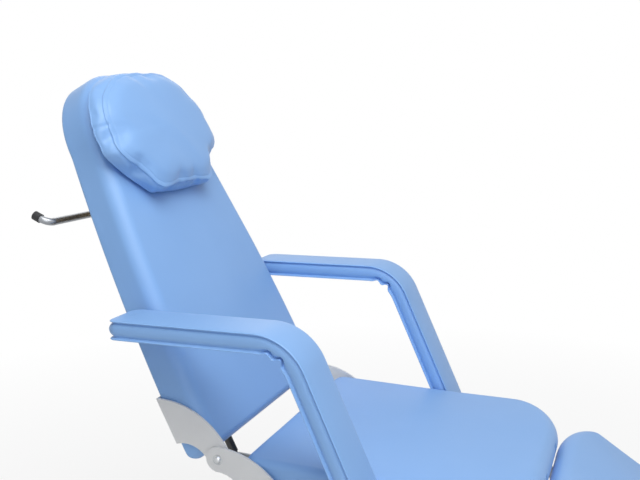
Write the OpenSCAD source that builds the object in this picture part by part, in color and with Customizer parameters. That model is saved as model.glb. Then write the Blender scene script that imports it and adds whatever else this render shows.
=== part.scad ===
// Beauty treatment chair: padded seat, reclining back and folding legrest on a pumped column.
// Millimetres, Z up. The foot end faces -Y, and the left side of the sitter is +X.
// The origin is on the floor, on the axis of the column.

/* [Seat] */
// Width of the seat over its padded sides
seat_w = 556; // [520:1:600]
// Length of the seat pad from back edge to front edge
seat_len = 584; // [540:1:640]
// Height of the padded seat above the floor, column down
seat_top_z = 600; // [580:1:640]
// Distance of the seat's back edge behind the column axis
seat_back_y = 280; // [250:1:300]
// Width of the rounded front corners, seen from above
seat_corner_w = 170; // [120:1:200]
// Depth of the rounded front corners, seen from above
seat_corner_d = 120; // [90:1:150]
// Rounding of the back corners, seen from above
seat_corner_r = 28; // [24:1:36]

/* [Padding] */
// Thickness of the foam pads
pad_t = 73; // [66:1:84]
// Thickness of the plywood boards
board_t = 12; // [11:1:15]
// Distance of a board's edge inside its pad
board_inset = 5; // [3:1:10]
// Height of the crown of seat and legrest pads
pad_crown = 7; // [3:1:12]
// How far the long sides draw in between the corners
pad_tuck = 3; // [0:0.5:6]
// Rounding of the top edges of seat and legrest
pad_edge_r = 16; // [12:1:20]
// Rounding of the lower edges of all pads
pad_foot_r = 5; // [3:1:8]
// Straight side left between the two roundings of a rolled end
roll_flat = 2; // [1:0.5:4]
// Distance of a board's edge behind a rolled end
board_set_back = 46; // [44:1:52]

/* [Backrest] */
// Length of the back pad
back_len = 864; // [820:1:940]
// Angle of the back above level
back_angle = 63; // [55:1:70]
// Distance of the back pad from its pivot, along the back
back_setback = 23; // [20:1:30]
// Distance along the back at which the top rounding starts
back_shoulder_v = 690; // [640:1:720]
// Width of the back where the top rounding starts
back_shoulder_w = 420; // [380:1:440]
// Width of the straight part of the head end
back_top_flat = 90; // [60:5:120]
// Rounding of its lower corners, seen from its face
back_corner_r = 20; // [19:1:30]
// How much lower its lower end reaches at the board than at the face
back_heel = 15; // [0:1:18]
// Rounding of the front edges of the back pad
back_edge_r = 32; // [24:1:36]
// Rounding of its front edge at the lower end
back_low_edge_r = 16; // [12:1:18]
// Distance over which the one rounding grows into the other
back_edge_run = 120; // [90:1:150]
// Height of the crown of the back pad
back_crown = 4; // [2:1:8]

/* [Backrest hinge] */
// Distance of the pivot behind the seat's back edge
pivot_gap = 50; // [45:1:60]
// Depth of the pivot below the padded top of the seat
pivot_drop = 8; // [5:1:12]
// Radius of the round end of a hinge plate
plate_eye_r = 27; // [24:1:30]
// Radius of the outer curve of a hinge plate
plate_outer_r = 178; // [170:1:190]
// Radius of the inner curve of a hinge plate
plate_inner_r = 60; // [55:1:66]
// Thickness of the hinge plates
plate_t = 5; // [4:0.5:6]
// Width of the flange that lies under a board
flange_w = 34; // [30:1:36]
// Distance between the screws of a flange
flange_pitch = 36; // [30:1:38]
// Distance of the screws of a flange from the plate
flange_screw_in = 20; // [18:1:24]
// Clearance between a pad's side and the hinge plate beside it
plate_gap = 0.5; // [0.4:0.1:0.8]
// Thickness of the nylon washer between two hinge plates
pivot_washer_t = 1; // [0.8:0.1:1.5]
// Radius of the nylon washer and of the steel washer of a pivot
pivot_washer_r = 11; // [10:0.5:13]
// Radius of the pivot bolts
pivot_r = 6; // [5:0.5:7]
// Radius of the domed head of a pivot bolt
pivot_head_r = 8; // [7:0.5:9]
// Height of the domed head of a pivot bolt
pivot_head_h = 5; // [4:0.5:6]
// Running clearance of every pin and shaft in its bore
run_clear = 0.05; // [0.02:0.01:0.08]

/* [Legrest] */
// Length of the legrest pad
leg_len = 400; // [360:1:460]
// Angle of the legrest below level
leg_droop = 30; // [20:1:40]
// Width of the legrest at its foot end
leg_foot_w = 500; // [440:1:540]
// Depth of the rounded corners next to the seat
leg_corner_d = 90; // [70:1:110]
// Rounding of the corners at the foot end
leg_foot_corner_r = 85; // [60:1:110]
// Gap between seat and legrest when level
leg_gap = 6; // [5:0.5:8]
// Distance of the legrest pivot ahead of the centre of the seat's rolled front
leg_pivot_ahead = 6.5; // [5:0.5:8]
// Distance of each legrest hinge from the middle of the chair
leg_hinge_x = 75; // [65:1:85]
// Thickness of the plates of the legrest hinges
leg_plate_t = 6; // [5:0.5:8]
// Radius of the legrest hinge pins
leg_pin_r = 6; // [5:0.5:7]
// Radius of the round ends of the legrest hinge plates
leg_eye_r = 12; // [11:0.5:14]
// Width of the bars of the legrest hinges
leg_bar_w = 14; // [12:1:15]
// Gap between the two plates of a legrest hinge
leg_side_gap = 0.5; // [0.3:0.1:0.8]
// Thickness of the heads of the legrest hinge pins
leg_pin_head_t = 2; // [1.5:0.5:3]
// Radius of the heads of the legrest hinge pins
leg_pin_head_r = 9; // [8:0.5:10]
// Free space round the legrest hinges in pad and board
leg_slot_clear = 2; // [1:0.5:3]
// Distance behind the legrest pivot to which the slots reach
leg_slot_back = 48; // [46:1:54]
// Distance behind the legrest pivot of the elbow of the hinge lugs
leg_lug_back = 38; // [34:1:42]
// Distance of the legrest rails' ends inside the foot end
leg_rail_in = 40; // [30:1:60]
// Length of the legrest hinge plates along the rails
leg_tail_len = 70; // [50:1:90]

/* [Headrest pillow] */
// Distance of the pillow from the lower end of the back pad
pillow_v = 553; // [500:1:560]
// Distance that the pillow lies off the chair's middle, towards the right armrest
pillow_off = 22; // [0:1:30]
// Length of the pillow
pillow_len = 284; // [260:1:300]
// Width of the pillow at its widest
pillow_w = 432; // [380:1:440]
// Width of the pillow at its lower end
pillow_foot_w = 216; // [180:1:260]
// Distance from the lower end to the widest part
pillow_flare = 100; // [90:1:120]
// Width of the upper corners of the pillow
pillow_corner_w = 134; // [100:1:150]
// Depth of the upper corners of the pillow
pillow_corner_d = 122; // [90:1:130]
// Rounding of the pillow's widest corners, seen from its face
pillow_side_r = 50; // [40:5:80]
// Rounding of the pillow's lower corners, seen from its face
pillow_foot_r = 34; // [20:2:40]
// Rounding of the pillow's edges
pillow_edge_r = 7; // [5:1:10]
// Thickness of the pillow at its gusset
pillow_t = 42; // [34:1:50]
// Height of the pillow's crown above the gusset
pillow_crown = 24; // [14:1:30]
// Thickness of the hook-and-loop strips behind the pillow
strip_t = 2; // [1.5:0.5:3]
// Width of the hook-and-loop strips
strip_w = 50; // [30:1:60]
// Length of the hook-and-loop strips
strip_len = 190; // [150:1:200]
// Distance of the strips from the middle of the chair
strip_x = 70; // [50:1:80]
// Clearance between soft parts that slide past each other
soft_gap = 0.4; // [0.3:0.1:0.8]

/* [Armrests] */
// Gap between the side of the seat and an armrest
arm_gap = 2; // [1:0.5:6]
// Width of an armrest pad
arm_pad_w = 100; // [80:1:110]
// Thickness of an armrest pad
arm_pad_t = 39; // [34:1:44]
// Height of the top of the armrests above the floor
arm_top_z = 899; // [870:1:930]
// Position of the armrest bend behind the column axis
arm_bend_y = 202; // [180:1:220]
// Length of an armrest behind its bend
arm_back_len = 319; // [280:1:340]
// Radius of the bend on the outside of the pad
arm_bend_r = 113; // [100:1:130]
// Angle of the armrest's leg below its top
arm_turn = 66.7; // [60:0.1:72]
// Rise of the armrest's top towards the front, in degrees
arm_rise = 1.5; // [0:0.1:3]
// Height above the floor at which the armrest pad ends
arm_pad_end_z = 503; // [500:1:520]
// Rounding of the back end of an armrest pad
arm_tip_r = 18; // [14:1:19]
// Rounding round the lower opening of an armrest pad
arm_mouth_r = 4; // [2:0.5:6]
// Length of solid pad behind the end of the tube
arm_tip_len = 45; // [30:1:60]
// Radius of the armrest tube
arm_tube_r = 11; // [10:0.5:12]
// Clearance between the armrest tube and its pad
arm_fit = 0.4; // [0.3:0.05:0.5]
// Length of the weld beads on bent tubes and rods
bead_len = 3; // [2:0.5:3.5]
// Height of those beads
bead_h = 0.2; // [0.1:0.05:0.3]
// Length of an armrest socket
socket_len = 85; // [70:1:95]
// Wall of an armrest socket
socket_wall = 4; // [3:0.5:5]
// Width of the outriggers that carry the sockets
outrigger_w = 40; // [30:1:44]
// Height of the outriggers
outrigger_h = 20; // [16:1:24]

/* [Clamp knobs] */
// Radius of a clamp knob
knob_r = 16; // [14:1:20]
// Thickness of a clamp knob
knob_t = 18; // [14:1:22]
// Radius of the hollows round a clamp knob
knob_hollow_r = 6; // [5:0.5:8]
// Number of hollows round a clamp knob
knob_hollows = 6; // [5:1:8]
// Radius of the stud of a clamp knob
stud_r = 4; // [3:0.5:5]
// Radius of the boss that the stud turns in
boss_r = 9; // [8:0.5:10]
// Length of that boss outside the socket
boss_len = 8; // [6:1:12]
// Gap between a clamp knob and its boss, and between stud and tube
knob_gap = 0.4; // [0.3:0.1:0.8]

/* [Frames] */
// Width of the frame rails
rail_w = 40; // [36:1:46]
// Height of the frame rails
rail_h = 30; // [26:1:32]
// Wall of the frame tubes
tube_wall = 2; // [1.5:0.5:3]
// Distance of the middle of the seat rails from the side of the seat
seat_rail_in = 56; // [50:1:63]
// Distance of the seat rails' ends behind the front edge of the seat
rail_front_in = 82; // [80:1:90]
// Distance of the seat rails' ends ahead of the back edge of the seat
rail_back_in = 18; // [15:1:30]
// Distance of the middle of the front cross tube behind the front edge of the seat
cross_in = 149; // [144:1:154]
// Width of the cross tubes
cross_w = 25; // [22:1:30]
// Width of the backrest rails
back_rail_w = 25; // [20:1:30]
// Height of the backrest rails
back_rail_h = 20; // [16:1:24]
// Distance of the backrest rails from the middle of the chair
back_rail_x = 150; // [140:1:160]
// Distance of the lower ends of the backrest rails from the pivot
back_rail_low = 100; // [90:1:110]
// Distance of the upper ends of the backrest rails from the pivot
back_rail_high = 760; // [720:1:780]
// Radius of the screws in boards and flanges
screw_r = 3; // [2.5:0.5:4]
// Depth of the screws in the boards
screw_depth = 8; // [6:1:10]
// Radius of the heads of those screws
screw_head_r = 5.5; // [5:0.5:7]
// Height of the heads of those screws
screw_head_h = 3; // [2.5:0.5:4]

/* [Strut] */
// Distance of the strut from the middle of the chair
strut_x = 90; // [80:1:95]
// Distance of the strut behind the pivot, square to the back
strut_back = 96; // [94:1:100]
// Distance of the strut's lower pin below the pivot, along the back
strut_low = 54; // [50:1:60]
// Length of the strut from pin to pin
strut_len = 400; // [380:1:420]
// Length of the strut's cylinder with its eye
strut_body_len = 235; // [225:1:245]
// Distance of the rod's inner end from the lower pin
strut_rod_start = 150; // [145:1:155]
// Distance of the bottom of the cylinder's bore from the lower pin
strut_bore_start = 26; // [22:1:28]
// Distance of the round cylinder from the lower pin
strut_neck_len = 16; // [14:1:18]
// Width of the eyes of the strut
strut_eye_w = 12; // [11:1:13]
// Radius of the strut's cylinder
strut_r = 10; // [9:0.5:11]
// Radius of the strut's rod
strut_rod_r = 5; // [4:0.5:6]
// Radius of the pins of the strut
strut_pin_r = 5; // [4:0.5:6]
// Radius of the eyes of the strut
strut_eye_r = 10; // [9:0.5:11]
// Thickness of the plates of the strut's forks
fork_t = 5; // [4:0.5:6]
// Gap between the lower eye of the strut and its fork
fork_gap = 1; // [0.6:0.1:1.2]
// Gap between the upper eye of the strut and its ears
ear_gap = 2; // [1.5:0.1:2.5]
// How much narrower the ears are between their two holes
ear_waist = 3; // [2:0.5:4]
// Length of the web that joins the plates of the lower fork
fork_web_len = 20; // [15:1:30]
// Radius of the pin heads of the strut
strut_pin_head_r = 7; // [6:0.5:8]
// Thickness of the pin heads of the strut
strut_pin_head_t = 2; // [1.5:0.5:3]
// Distance of the backrest's cross tube above the strut's upper pin
back_cross_up = 40; // [38:1:46]

/* [Release lever] */
// Radius of the release shaft
lever_shaft_r = 5; // [4:0.5:6]
// Length of the release shaft
lever_shaft_len = 150; // [130:1:170]
// Length of the release grip
lever_grip_len = 95; // [80:1:120]
// Radius of the release grip
lever_grip_r = 8; // [7:0.5:10]
// Distance of the release shaft above the strut's upper pin
lever_up = 44; // [42:1:48]
// Distance of the release shaft behind the strut's axis
lever_back = 14; // [12:1:15]
// Length of the lever's arm between shaft and grip
lever_arm_len = 20; // [15:1:30]
// Radius of the rings that keep the release shaft in place
lever_ring_r = 8; // [7:0.5:9]
// Thickness of those rings
lever_ring_t = 3; // [2:0.5:4]

/* [Column] */
// Radius of the lift column
column_r = 30; // [28:1:34]
// Height of the lift column's shoulder above the floor
column_top_z = 439; // [430:1:442]
// Height of the lower end of the lift column
column_low_z = 62; // [58:1:75]
// Radius of the spigot that the chair turns on
spigot_r = 20; // [18:0.5:23]
// Thickness of the thrust washer
thrust_t = 2; // [1.5:0.5:3]
// Radius of the swivel hub's boss
hub_r = 38; // [34:1:42]
// Thickness of the swivel hub's plate
hub_t = 6; // [5:0.5:8]
// Half the width of the swivel hub's plate
hub_half_x = 90; // [80:1:95]
// Distance of the hub's bolts from the middle of the chair
hub_bolt_x = 70; // [60:1:75]
// Radius of the hub's bolts
hub_bolt_r = 5; // [4:0.5:6]
// Radius over the corners of bolt heads and nuts
hex_r = 9; // [8:0.5:10]
// Height of bolt heads and nuts
hex_h = 7; // [6:0.5:8]
// Radius of the threaded end of the lift column
thread_r = 10; // [9:0.5:12]
// Radius over the corners of the retaining nut
nut_r = 18; // [16:0.5:20]
// Height of the retaining nut
nut_h = 11; // [9:1:13]
// Radius of the retaining nut's washer
nut_washer_r = 27; // [26:1:32]
// Thickness of the retaining nut's washer
nut_washer_t = 3; // [2:0.5:4]
// Play between the swivel hub and the retaining nut's washer
swivel_play = 0.3; // [0.2:0.1:0.4]

/* [Pump] */
// Outer radius of the pump cylinder
pump_r = 47; // [45:1:52]
// Bore radius of the pump cylinder
pump_bore_r = 36; // [35:0.5:38]
// Height of the top of the pump cylinder
pump_top_z = 295; // [280:1:305]
// Length of the guide bush inside the pump cylinder
bush_len = 70; // [60:1:90]
// Thickness of the flange of the guide bush
bush_flange_t = 6; // [4:0.5:8]
// Radius of the flange of the guide bush
bush_flange_r = 43; // [40:1:45]
// Thickness of the floor of the pump cylinder
pump_floor_t = 8; // [6:1:12]
// Length of the pump block along Y
block_len = 140; // [130:1:150]
// Width of the pump block
block_w = 130; // [120:1:140]
// Height of the pump block
block_h = 75; // [70:1:85]
// Width over the foot flanges of the pump block
block_foot_w = 176; // [170:1:184]
// Thickness of the foot flanges of the pump block
block_foot_t = 12; // [10:1:15]
// Distance between the base bolts along Y
base_bolt_pitch = 100; // [90:1:110]
// Depth of the base bolts in the base plate
base_bolt_depth = 18; // [14:1:20]

/* [Foot pedal] */
// Distance of the pedal's pin behind the column axis
pedal_y = 102; // [98:1:110]
// Height of the pedal's pin above the floor
pedal_z = 84; // [82:1:90]
// Length of the pedal's arm from its pin
pedal_len = 285; // [260:1:320]
// Width of the pedal's arm
pedal_w = 22; // [18:1:26]
// Thickness of the pedal's arm
pedal_t = 12; // [10:1:14]
// Radius of the pedal's pin
pedal_pin_r = 7; // [6:0.5:8]
// Height of the pedal's end above its pin
pedal_up_h = 26; // [20:1:34]
// Radius of the pedal's eye
pedal_eye_r = 13; // [12:0.5:15]
// Thickness of the ears that carry the pedal
pedal_ear_t = 10; // [8:1:12]
// Gap between the pedal's eye and an ear
pedal_gap = 1; // [0.5:0.1:1.5]
// Thickness of the tread plate under the rubber pad
tread_t = 4; // [3:0.5:5]
// Width of the rubber foot pad
pedal_pad_w = 90; // [70:1:110]
// Length of the rubber foot pad
pedal_pad_len = 62; // [50:1:75]
// Thickness of the rubber foot pad
pedal_pad_t = 9; // [7:1:12]
// Width of the grooves in the rubber foot pad
groove_w = 5; // [3:0.5:6]
// Depth of the grooves in the rubber foot pad
groove_d = 3; // [2:0.5:4]
// Distance between those grooves
groove_pitch = 14; // [12:1:16]

/* [Base] */
// Radius of the base plate with its trim
base_r = 320; // [300:1:340]
// Height of the base plate at its rim
base_rim_h = 11; // [9:1:14]
// Height of the base plate at its hub
base_hub_h = 26; // [22:1:28]
// Radius of the flat hub of the base plate
base_hub_r = 125; // [120:1:135]
// Width of the rubber trim round the rim
trim_w = 7; // [5:0.5:9]
// Radius of the base bolts
base_bolt_r = 5; // [4:0.5:6]

/* [Paper roll rod] */
// Distance of the rod from the lower end of the back pad
roll_v = 576; // [560:1:590]
// Distance of the rod behind the back board
roll_reach = 66; // [60:1:80]
// Distance of the rod's bent end from the middle of the chair
roll_end_x = 288; // [270:1:300]
// Distance of the rod's flange from the middle of the chair
roll_root_x = 192; // [186:1:196]
// Radius of the rod's flange
roll_flange_r = 22; // [21:0.5:24]
// Thickness of the rod's flange
roll_flange_t = 4; // [3:0.5:5]
// Distance of the flange's screws from the rod
roll_screw_in = 15; // [14:0.5:15]
// Turn of the rod's bent end, measured from the back towards its rear
roll_tip_turn = 40; // [30:1:50]
// Radius of the rod
roll_r = 8; // [7:0.5:9]
// Radius of the bends of the rod
roll_bend_r = 18; // [16:1:24]
// Length of the rod's bent end
roll_tip_len = 14; // [12:1:30]
// Radius of the black end cap
roll_cap_r = 10; // [9:0.5:11]
// Length of the black end cap
roll_cap_len = 17; // [14:1:20]
// Length of rod inside the end cap
roll_cap_depth = 12; // [8:1:13]

/* [Hidden] */

$fn = 48;

overrun = 1;
vinyl = [0.40, 0.58, 0.80];
steel = [0.70, 0.71, 0.73];
black = [0.08, 0.08, 0.09];
frame_grey = [0.62, 0.64, 0.66];
wood = [0.66, 0.52, 0.36];
zinc = [0.78, 0.79, 0.80];
bronze = [0.72, 0.52, 0.28];

// Seat
seat_half = seat_w / 2;
seat_front_y = seat_back_y - seat_len;
pad_bottom_z = seat_top_z - pad_t;
board_bottom_z = pad_bottom_z - board_t;
rail_bottom_z = board_bottom_z - rail_h;
roll_end_r = (pad_t - roll_flat) / 2;
rail_front_y = seat_front_y + rail_front_in;
rail_back_y = seat_back_y - rail_back_in;
seat_rail_x = seat_half - seat_rail_in;
rail_in_x = seat_rail_x - rail_w / 2;
cross_y = -seat_front_y - cross_in;
hub_bottom_z = rail_bottom_z - hub_t;

// Backrest and its hinge
pivot_y = seat_back_y + pivot_gap;
pivot_z = seat_top_z - pivot_drop;
plate_back_x = seat_half + plate_gap;
plate_seat_x = plate_back_x + plate_t + pivot_washer_t;
back_pad_w = pivot_drop - pad_t;
back_board_w = back_pad_w - board_t;
back_rail_bottom_w = back_board_w - back_rail_h;
flange_low_w = back_board_w - plate_t;
flange_start = plate_inner_r;
flange_end = sqrt(plate_outer_r * plate_outer_r - pow(plate_outer_centre() + flange_low_w, 2));
flange_mid = (flange_start + flange_end) / 2;

// Legrest
leg_pivot_y = seat_front_y + pad_t / 2 - leg_pivot_ahead;
leg_pivot_z = seat_top_z - pad_t / 2;
leg_end_v = leg_gap + pad_t / 2 - leg_pivot_ahead;
leg_board_w = -pad_t / 2 - board_t;
leg_board_v = leg_end_v + board_set_back;
leg_rail_mid_w = leg_board_w - rail_h / 2;
leg_arm_x = leg_hinge_x + leg_plate_t / 2 + leg_side_gap;
leg_slot_w = 2 * (leg_plate_t + leg_pin_head_t + leg_slot_clear) + 2 * leg_side_gap;
leg_slot_x = leg_arm_x - leg_side_gap / 2;

// Armrests
arm_mid_x = seat_half + arm_gap + arm_pad_w / 2;
arm_mid_r = arm_bend_r - arm_pad_t / 2;
arm_arc = arm_mid_r * arm_turn * PI / 180;
arm_dip = arm_turn - arm_rise;
arm_bend_end = arm_place(arm_arc);
arm_pad_leg = (arm_bend_end[1] - arm_pad_end_z) / sin(arm_dip);
socket_r = arm_tube_r + run_clear + socket_wall;
socket_start = (arm_bend_end[1] - rail_bottom_z) / sin(arm_dip);
socket_mid = arm_place(arm_arc + socket_start + socket_len / 2);
outrigger_mid = arm_place(arm_arc + socket_start + outrigger_h / 2 / sin(arm_dip));
arm_tube_leg = socket_start + socket_len - socket_wall;

// Strut
strut_low_pin = back_point(-strut_low, -strut_back);
strut_up_v = strut_len - strut_low;
fork_in = strut_eye_w / 2 + fork_gap;
ears_in = strut_eye_w / 2 + ear_gap;
lever_v = strut_up_v + lever_up;
lever_w = -strut_back - lever_back;
back_cross_v = strut_up_v + back_cross_up;

// Column, pump and pedal
swivel_top_z = hub_bottom_z + hub_t + swivel_play;
block_front_y = -block_w / 2;
block_back_y = block_front_y + block_len;
pedal_tilt = asin(pedal_up_h / pedal_len);

// Point of the upright backrest, given along the back and square to it from its pivot
function back_point(v, w) = [
    pivot_y + v * cos(back_angle) - w * sin(back_angle),
    pivot_z + v * sin(back_angle) + w * cos(back_angle)
];
function plate_outer_centre() = plate_outer_r - plate_eye_r;

// Middle line of an armrest: s runs forward from the start of the bend
function arm_turn_at(s) = min(max(s / arm_mid_r * 180 / PI, 0), arm_turn);
function arm_line(s) =
    let (a = arm_turn_at(s), leg = max(s - arm_arc, 0))
    [
        max(-s, 0) - arm_mid_r * sin(a) - leg * cos(a),
        arm_mid_r * cos(a) - arm_bend_r - leg * sin(a)
    ];
function arm_place(s) =
    let (p = arm_line(s))
    [
        arm_bend_y + p[0] * cos(arm_rise) + p[1] * sin(arm_rise),
        arm_top_z - p[0] * sin(arm_rise) + p[1] * cos(arm_rise)
    ];

// Half outlines of the pads, seen from above, from the lower end up the +X side
function mirrored(half) =
    concat(half, [for (i = [len(half) - 1:-1:0]) [-half[i][0], half[i][1]]]);
function arc(cx, cy, rx, ry, from, to, steps) = [
    for (i = [0:steps])
        let (a = from + (to - from) * i / steps)
        [cx + rx * cos(a), cy + ry * sin(a)]
];
side_shares = [0.2, 0.4, 0.6, 0.8];
third_share = 1 / 3;

function seat_outline() =
    let (
        cx = seat_half - seat_corner_w,
        cy = seat_front_y + seat_corner_d,
        bx = seat_half - seat_corner_r,
        by = seat_back_y - seat_corner_r
    )
    mirrored([
        [cx * third_share, seat_front_y],
        each arc(cx, cy, seat_corner_w, seat_corner_d, -90, 0, 8),
        for (t = side_shares) [seat_half - pad_tuck * sin(180 * t), cy + (by - cy) * t],
        each arc(bx, by, seat_corner_r, seat_corner_r, 0, 90, 4),
        [bx * 2 * third_share, seat_back_y],
        [bx * third_share, seat_back_y]
    ]);

function back_half_w(v) =
    seat_half - (seat_half - back_shoulder_w / 2) * pow(v / back_shoulder_v, 2);
back_side_shares = [0.12, 0.28, 0.44, 0.58, 0.72, 0.86];
function back_outline() =
    let (bx = seat_half - back_corner_r, tx = back_top_flat / 2)
    mirrored([
        [bx * third_share, 0],
        [bx * 2 * third_share, 0],
        each arc(bx, back_corner_r, back_corner_r, back_corner_r, -90, 0, 4),
        for (t = back_side_shares) [back_half_w(back_shoulder_v * t), back_shoulder_v * t],
        each arc(
            tx, back_shoulder_v, back_shoulder_w / 2 - tx, back_len - back_shoulder_v, 0, 90, 10
        )
    ]);

function leg_outline() =
    let (
        cx = seat_half - seat_corner_w,
        foot = leg_foot_w / 2,
        fx = foot - leg_foot_corner_r,
        fy = leg_len - leg_foot_corner_r
    )
    mirrored([
        [cx * third_share, 0],
        each arc(cx, leg_corner_d, seat_corner_w, leg_corner_d, -90, 0, 8),
        for (t = side_shares)
            [
                seat_half - (seat_half - foot) * t - pad_tuck * sin(180 * t),
                leg_corner_d + (fy - leg_corner_d) * t
            ],
        each arc(fx, fy, leg_foot_corner_r, leg_foot_corner_r, 0, 90, 5),
        [fx / 2, leg_len]
    ]);

flare_shares = [0.3, 0.55, 0.8];
function pillow_outline() =
    let (
        foot = pillow_foot_w / 2,
        half = pillow_w / 2,
        slope = atan2(pillow_flare, half - foot),
        foot_x = foot - pillow_foot_r * tan(slope / 2),
        side_y = pillow_flare + pillow_side_r * tan((90 - slope) / 2),
        cx = half - pillow_corner_w,
        cy = pillow_len - pillow_corner_d
    )
    mirrored([
        [foot * third_share, 0],
        [foot * 2 * third_share, 0],
        each arc(foot_x, pillow_foot_r, pillow_foot_r, pillow_foot_r, -80, slope - 90, 3),
        for (t = flare_shares) [foot + (half - foot) * t, pillow_flare * t],
        each arc(half - pillow_side_r, side_y, pillow_side_r, pillow_side_r, slope - 90, 0, 3),
        each arc(cx, cy, pillow_corner_w, pillow_corner_d, 0, 90, 8),
        [cx / 2, pillow_len]
    ]);

// Outline o with each point moved inwards, square to the outline, by its own distance in d
function inward(o, i) =
    let (n = len(o), t = o[(i + 1) % n] - o[(i + n - 1) % n])
    [-t[1], t[0]] / norm(t);
function moved_in(o, d) = [for (i = [0:len(o) - 1]) o[i] + inward(o, i) * d[i]];
function same(o, r) = [for (p = o) r];

// Roundings along an outline: side_r along the sides, end_r where it faces the lower end
function end_rounding(o, side_r, end_r) = [
    for (i = [0:len(o) - 1])
        side_r + (end_r - side_r) * pow(max(inward(o, i)[1], 0), 2)
];
function back_rounding(o) = [
    for (p = o)
        back_low_edge_r
            + (back_edge_r - back_low_edge_r) * min(max(p[1] / back_edge_run, 0), 1)
];

// Rings of a crowned pad: lower rounding, upper rounding, crown
crown_shares = [0.86, 0.62, 0.32];
function at_heights(o, z) = [for (i = [0:len(o) - 1]) [o[i][0], o[i][1], z[i]]];
function pad_rings(o, foot_r, edge_r, t, crown, mid_y) = [
    for (a = [0:30:90])
        at_heights(moved_in(o, foot_r * (1 - sin(a))), foot_r * (1 - cos(a))),
    for (a = [0:22.5:90])
        at_heights(moved_in(o, edge_r * (1 - cos(a))), same(o, t) - edge_r * (1 - sin(a))),
    for (k = crown_shares)
        [
            for (p = moved_in(o, edge_r))
                [p[0] * k, mid_y + (p[1] - mid_y) * k, t + crown * (1 - pow(k, 3))]
        ]
];

// Closed skin over rings with equal numbers of points, fanned shut at both ends
module skin(rings, first, last) {
    n = len(rings[0]);
    m = len(rings);
    walls = [
        for (j = [0:m - 2], i = [0:n - 1])
            let (a = j * n + i, b = j * n + (i + 1) % n)
            each [[a, b + n, b], [a, a + n, b + n]]
    ];
    ends = [
        for (i = [0:n - 1])
            let (k = (i + 1) % n, top = (m - 1) * n)
            each [[m * n, i, k], [m * n + 1, top + k, top + i]]
    ];
    polyhedron(points = [for (r = rings) each r, first, last], faces = concat(walls, ends));
}

// Pad on a level board, from its underside up, its lower end reaching heel further at the board
function heeled(p, heel, t) =
    p - [0, heel * max(1 - p[2] / t, 0) * max(1 - p[1] / back_edge_run, 0), 0];
module pad(o, foot_r, edge_r, t, crown, heel = 0) {
    ys = [for (p = o) p[1]];
    mid_y = (min(ys) + max(ys)) / 2;
    rings = pad_rings(o, foot_r, edge_r, t, crown, mid_y);
    skin(
        [for (r = rings) [for (p = r) heeled(p, heel, t)]],
        [0, mid_y, 0], [0, mid_y, t + crown]
    );
}

// Board under a pad, cut off square at distance from along Y
module board(o, from) {
    reach = 2 * max([for (p = o) norm(p)]);
    linear_extrude(board_t) intersection() {
        polygon(moved_in(o, same(o, board_inset)));
        translate([-reach, from]) square(2 * reach);
    }
}

// Frames of the moving parts, drawn level: the back points to +Y, the legrest to -Y
module at_back() {
    translate([0, pivot_y, pivot_z]) rotate([back_angle, 0, 0]) children();
}

module at_leg() {
    translate([0, leg_pivot_y, leg_pivot_z]) rotate([leg_droop, 0, 0]) mirror([0, 1, 0]) children();
}

module at_arm() {
    translate([0, arm_bend_y, arm_top_z]) rotate([-arm_rise, 0, 0]) children();
}

// Mirror image for the right side of the sitter
module to_right() {
    mirror([1, 0, 0]) children();
}

module on_both_sides() {
    children();
    to_right() children();
}

// Flat shape drawn as distance along Y and height, stood up at x, thickened towards +X
module upright(x, t) {
    translate([x, 0, 0]) rotate([90, 0, 90]) linear_extrude(t) children();
}

module bar(p, q, w) {
    translate(p) rotate(atan2(q[1] - p[1], q[0] - p[0]))
        translate([0, -w / 2]) square([norm(q - p), w]);
}

module disc_at(p, r) {
    translate(p) circle(r);
}

module shaft(x, p, r, len) {
    translate([x, p[0], p[1]]) rotate([0, 90, 0]) cylinder(r = r, h = len);
}

// Rectangular tubes with open ends, standing on height z
module tube_along_x(half, y, z, w, h) {
    difference() {
        translate([-half, y - w / 2, z]) cube([2 * half, w, h]);
        translate([-half - overrun, y - w / 2 + tube_wall, z + tube_wall])
            cube([2 * (half + overrun), w - 2 * tube_wall, h - 2 * tube_wall]);
    }
}

module tube_along_y(x, from, to, z, w, h) {
    difference() {
        translate([x - w / 2, from, z]) cube([w, to - from, h]);
        translate([x - w / 2 + tube_wall, from - overrun, z + tube_wall])
            cube([w - 2 * tube_wall, to - from + 2 * overrun, h - 2 * tube_wall]);
    }
}

// Straight bar along Z that starts, and may end, inside a weld bead
module beaded_bar(r, len, both = false) {
    cut = bead_len / 4;
    for (z = both ? [0, len] : [0])
        translate([0, 0, z - bead_len / 2]) cylinder(r = r + bead_h, h = bead_len);
    translate([0, 0, cut]) cylinder(r = r, h = len - (both ? 2 : 1) * cut);
}

// Screw driven upwards from z = 0, and the hole that it fills
module screw(len) {
    translate([0, 0, -screw_head_h]) cylinder(r = screw_head_r, h = screw_head_h);
    cylinder(r = screw_r, h = len);
}

module screw_hole(len) {
    translate([0, 0, -overrun]) cylinder(r = screw_r, h = len + overrun);
}

// Hexagon head or nut standing on z = 0
module hexagon(r, h) {
    cylinder(r = r, h = h, $fn = 6);
}

// Base
module base_plate() {
    color(black) difference() {
        rotate_extrude() polygon([
            [0, 0],
            [base_r - trim_w, 0],
            [base_r - trim_w, base_rim_h],
            [base_hub_r, base_hub_h],
            [0, base_hub_h]
        ]);
        at_base_bolts() translate([0, 0, -base_bolt_depth])
            cylinder(r = base_bolt_r, h = base_bolt_depth + overrun);
    }
}

module base_trim() {
    color(black) rotate_extrude() translate([base_r - trim_w, 0]) union() {
        square([trim_w / 2, base_rim_h]);
        square([trim_w, base_rim_h - trim_w / 2]);
        translate([trim_w / 2, base_rim_h - trim_w / 2]) circle(trim_w / 2);
    }
}

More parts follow.
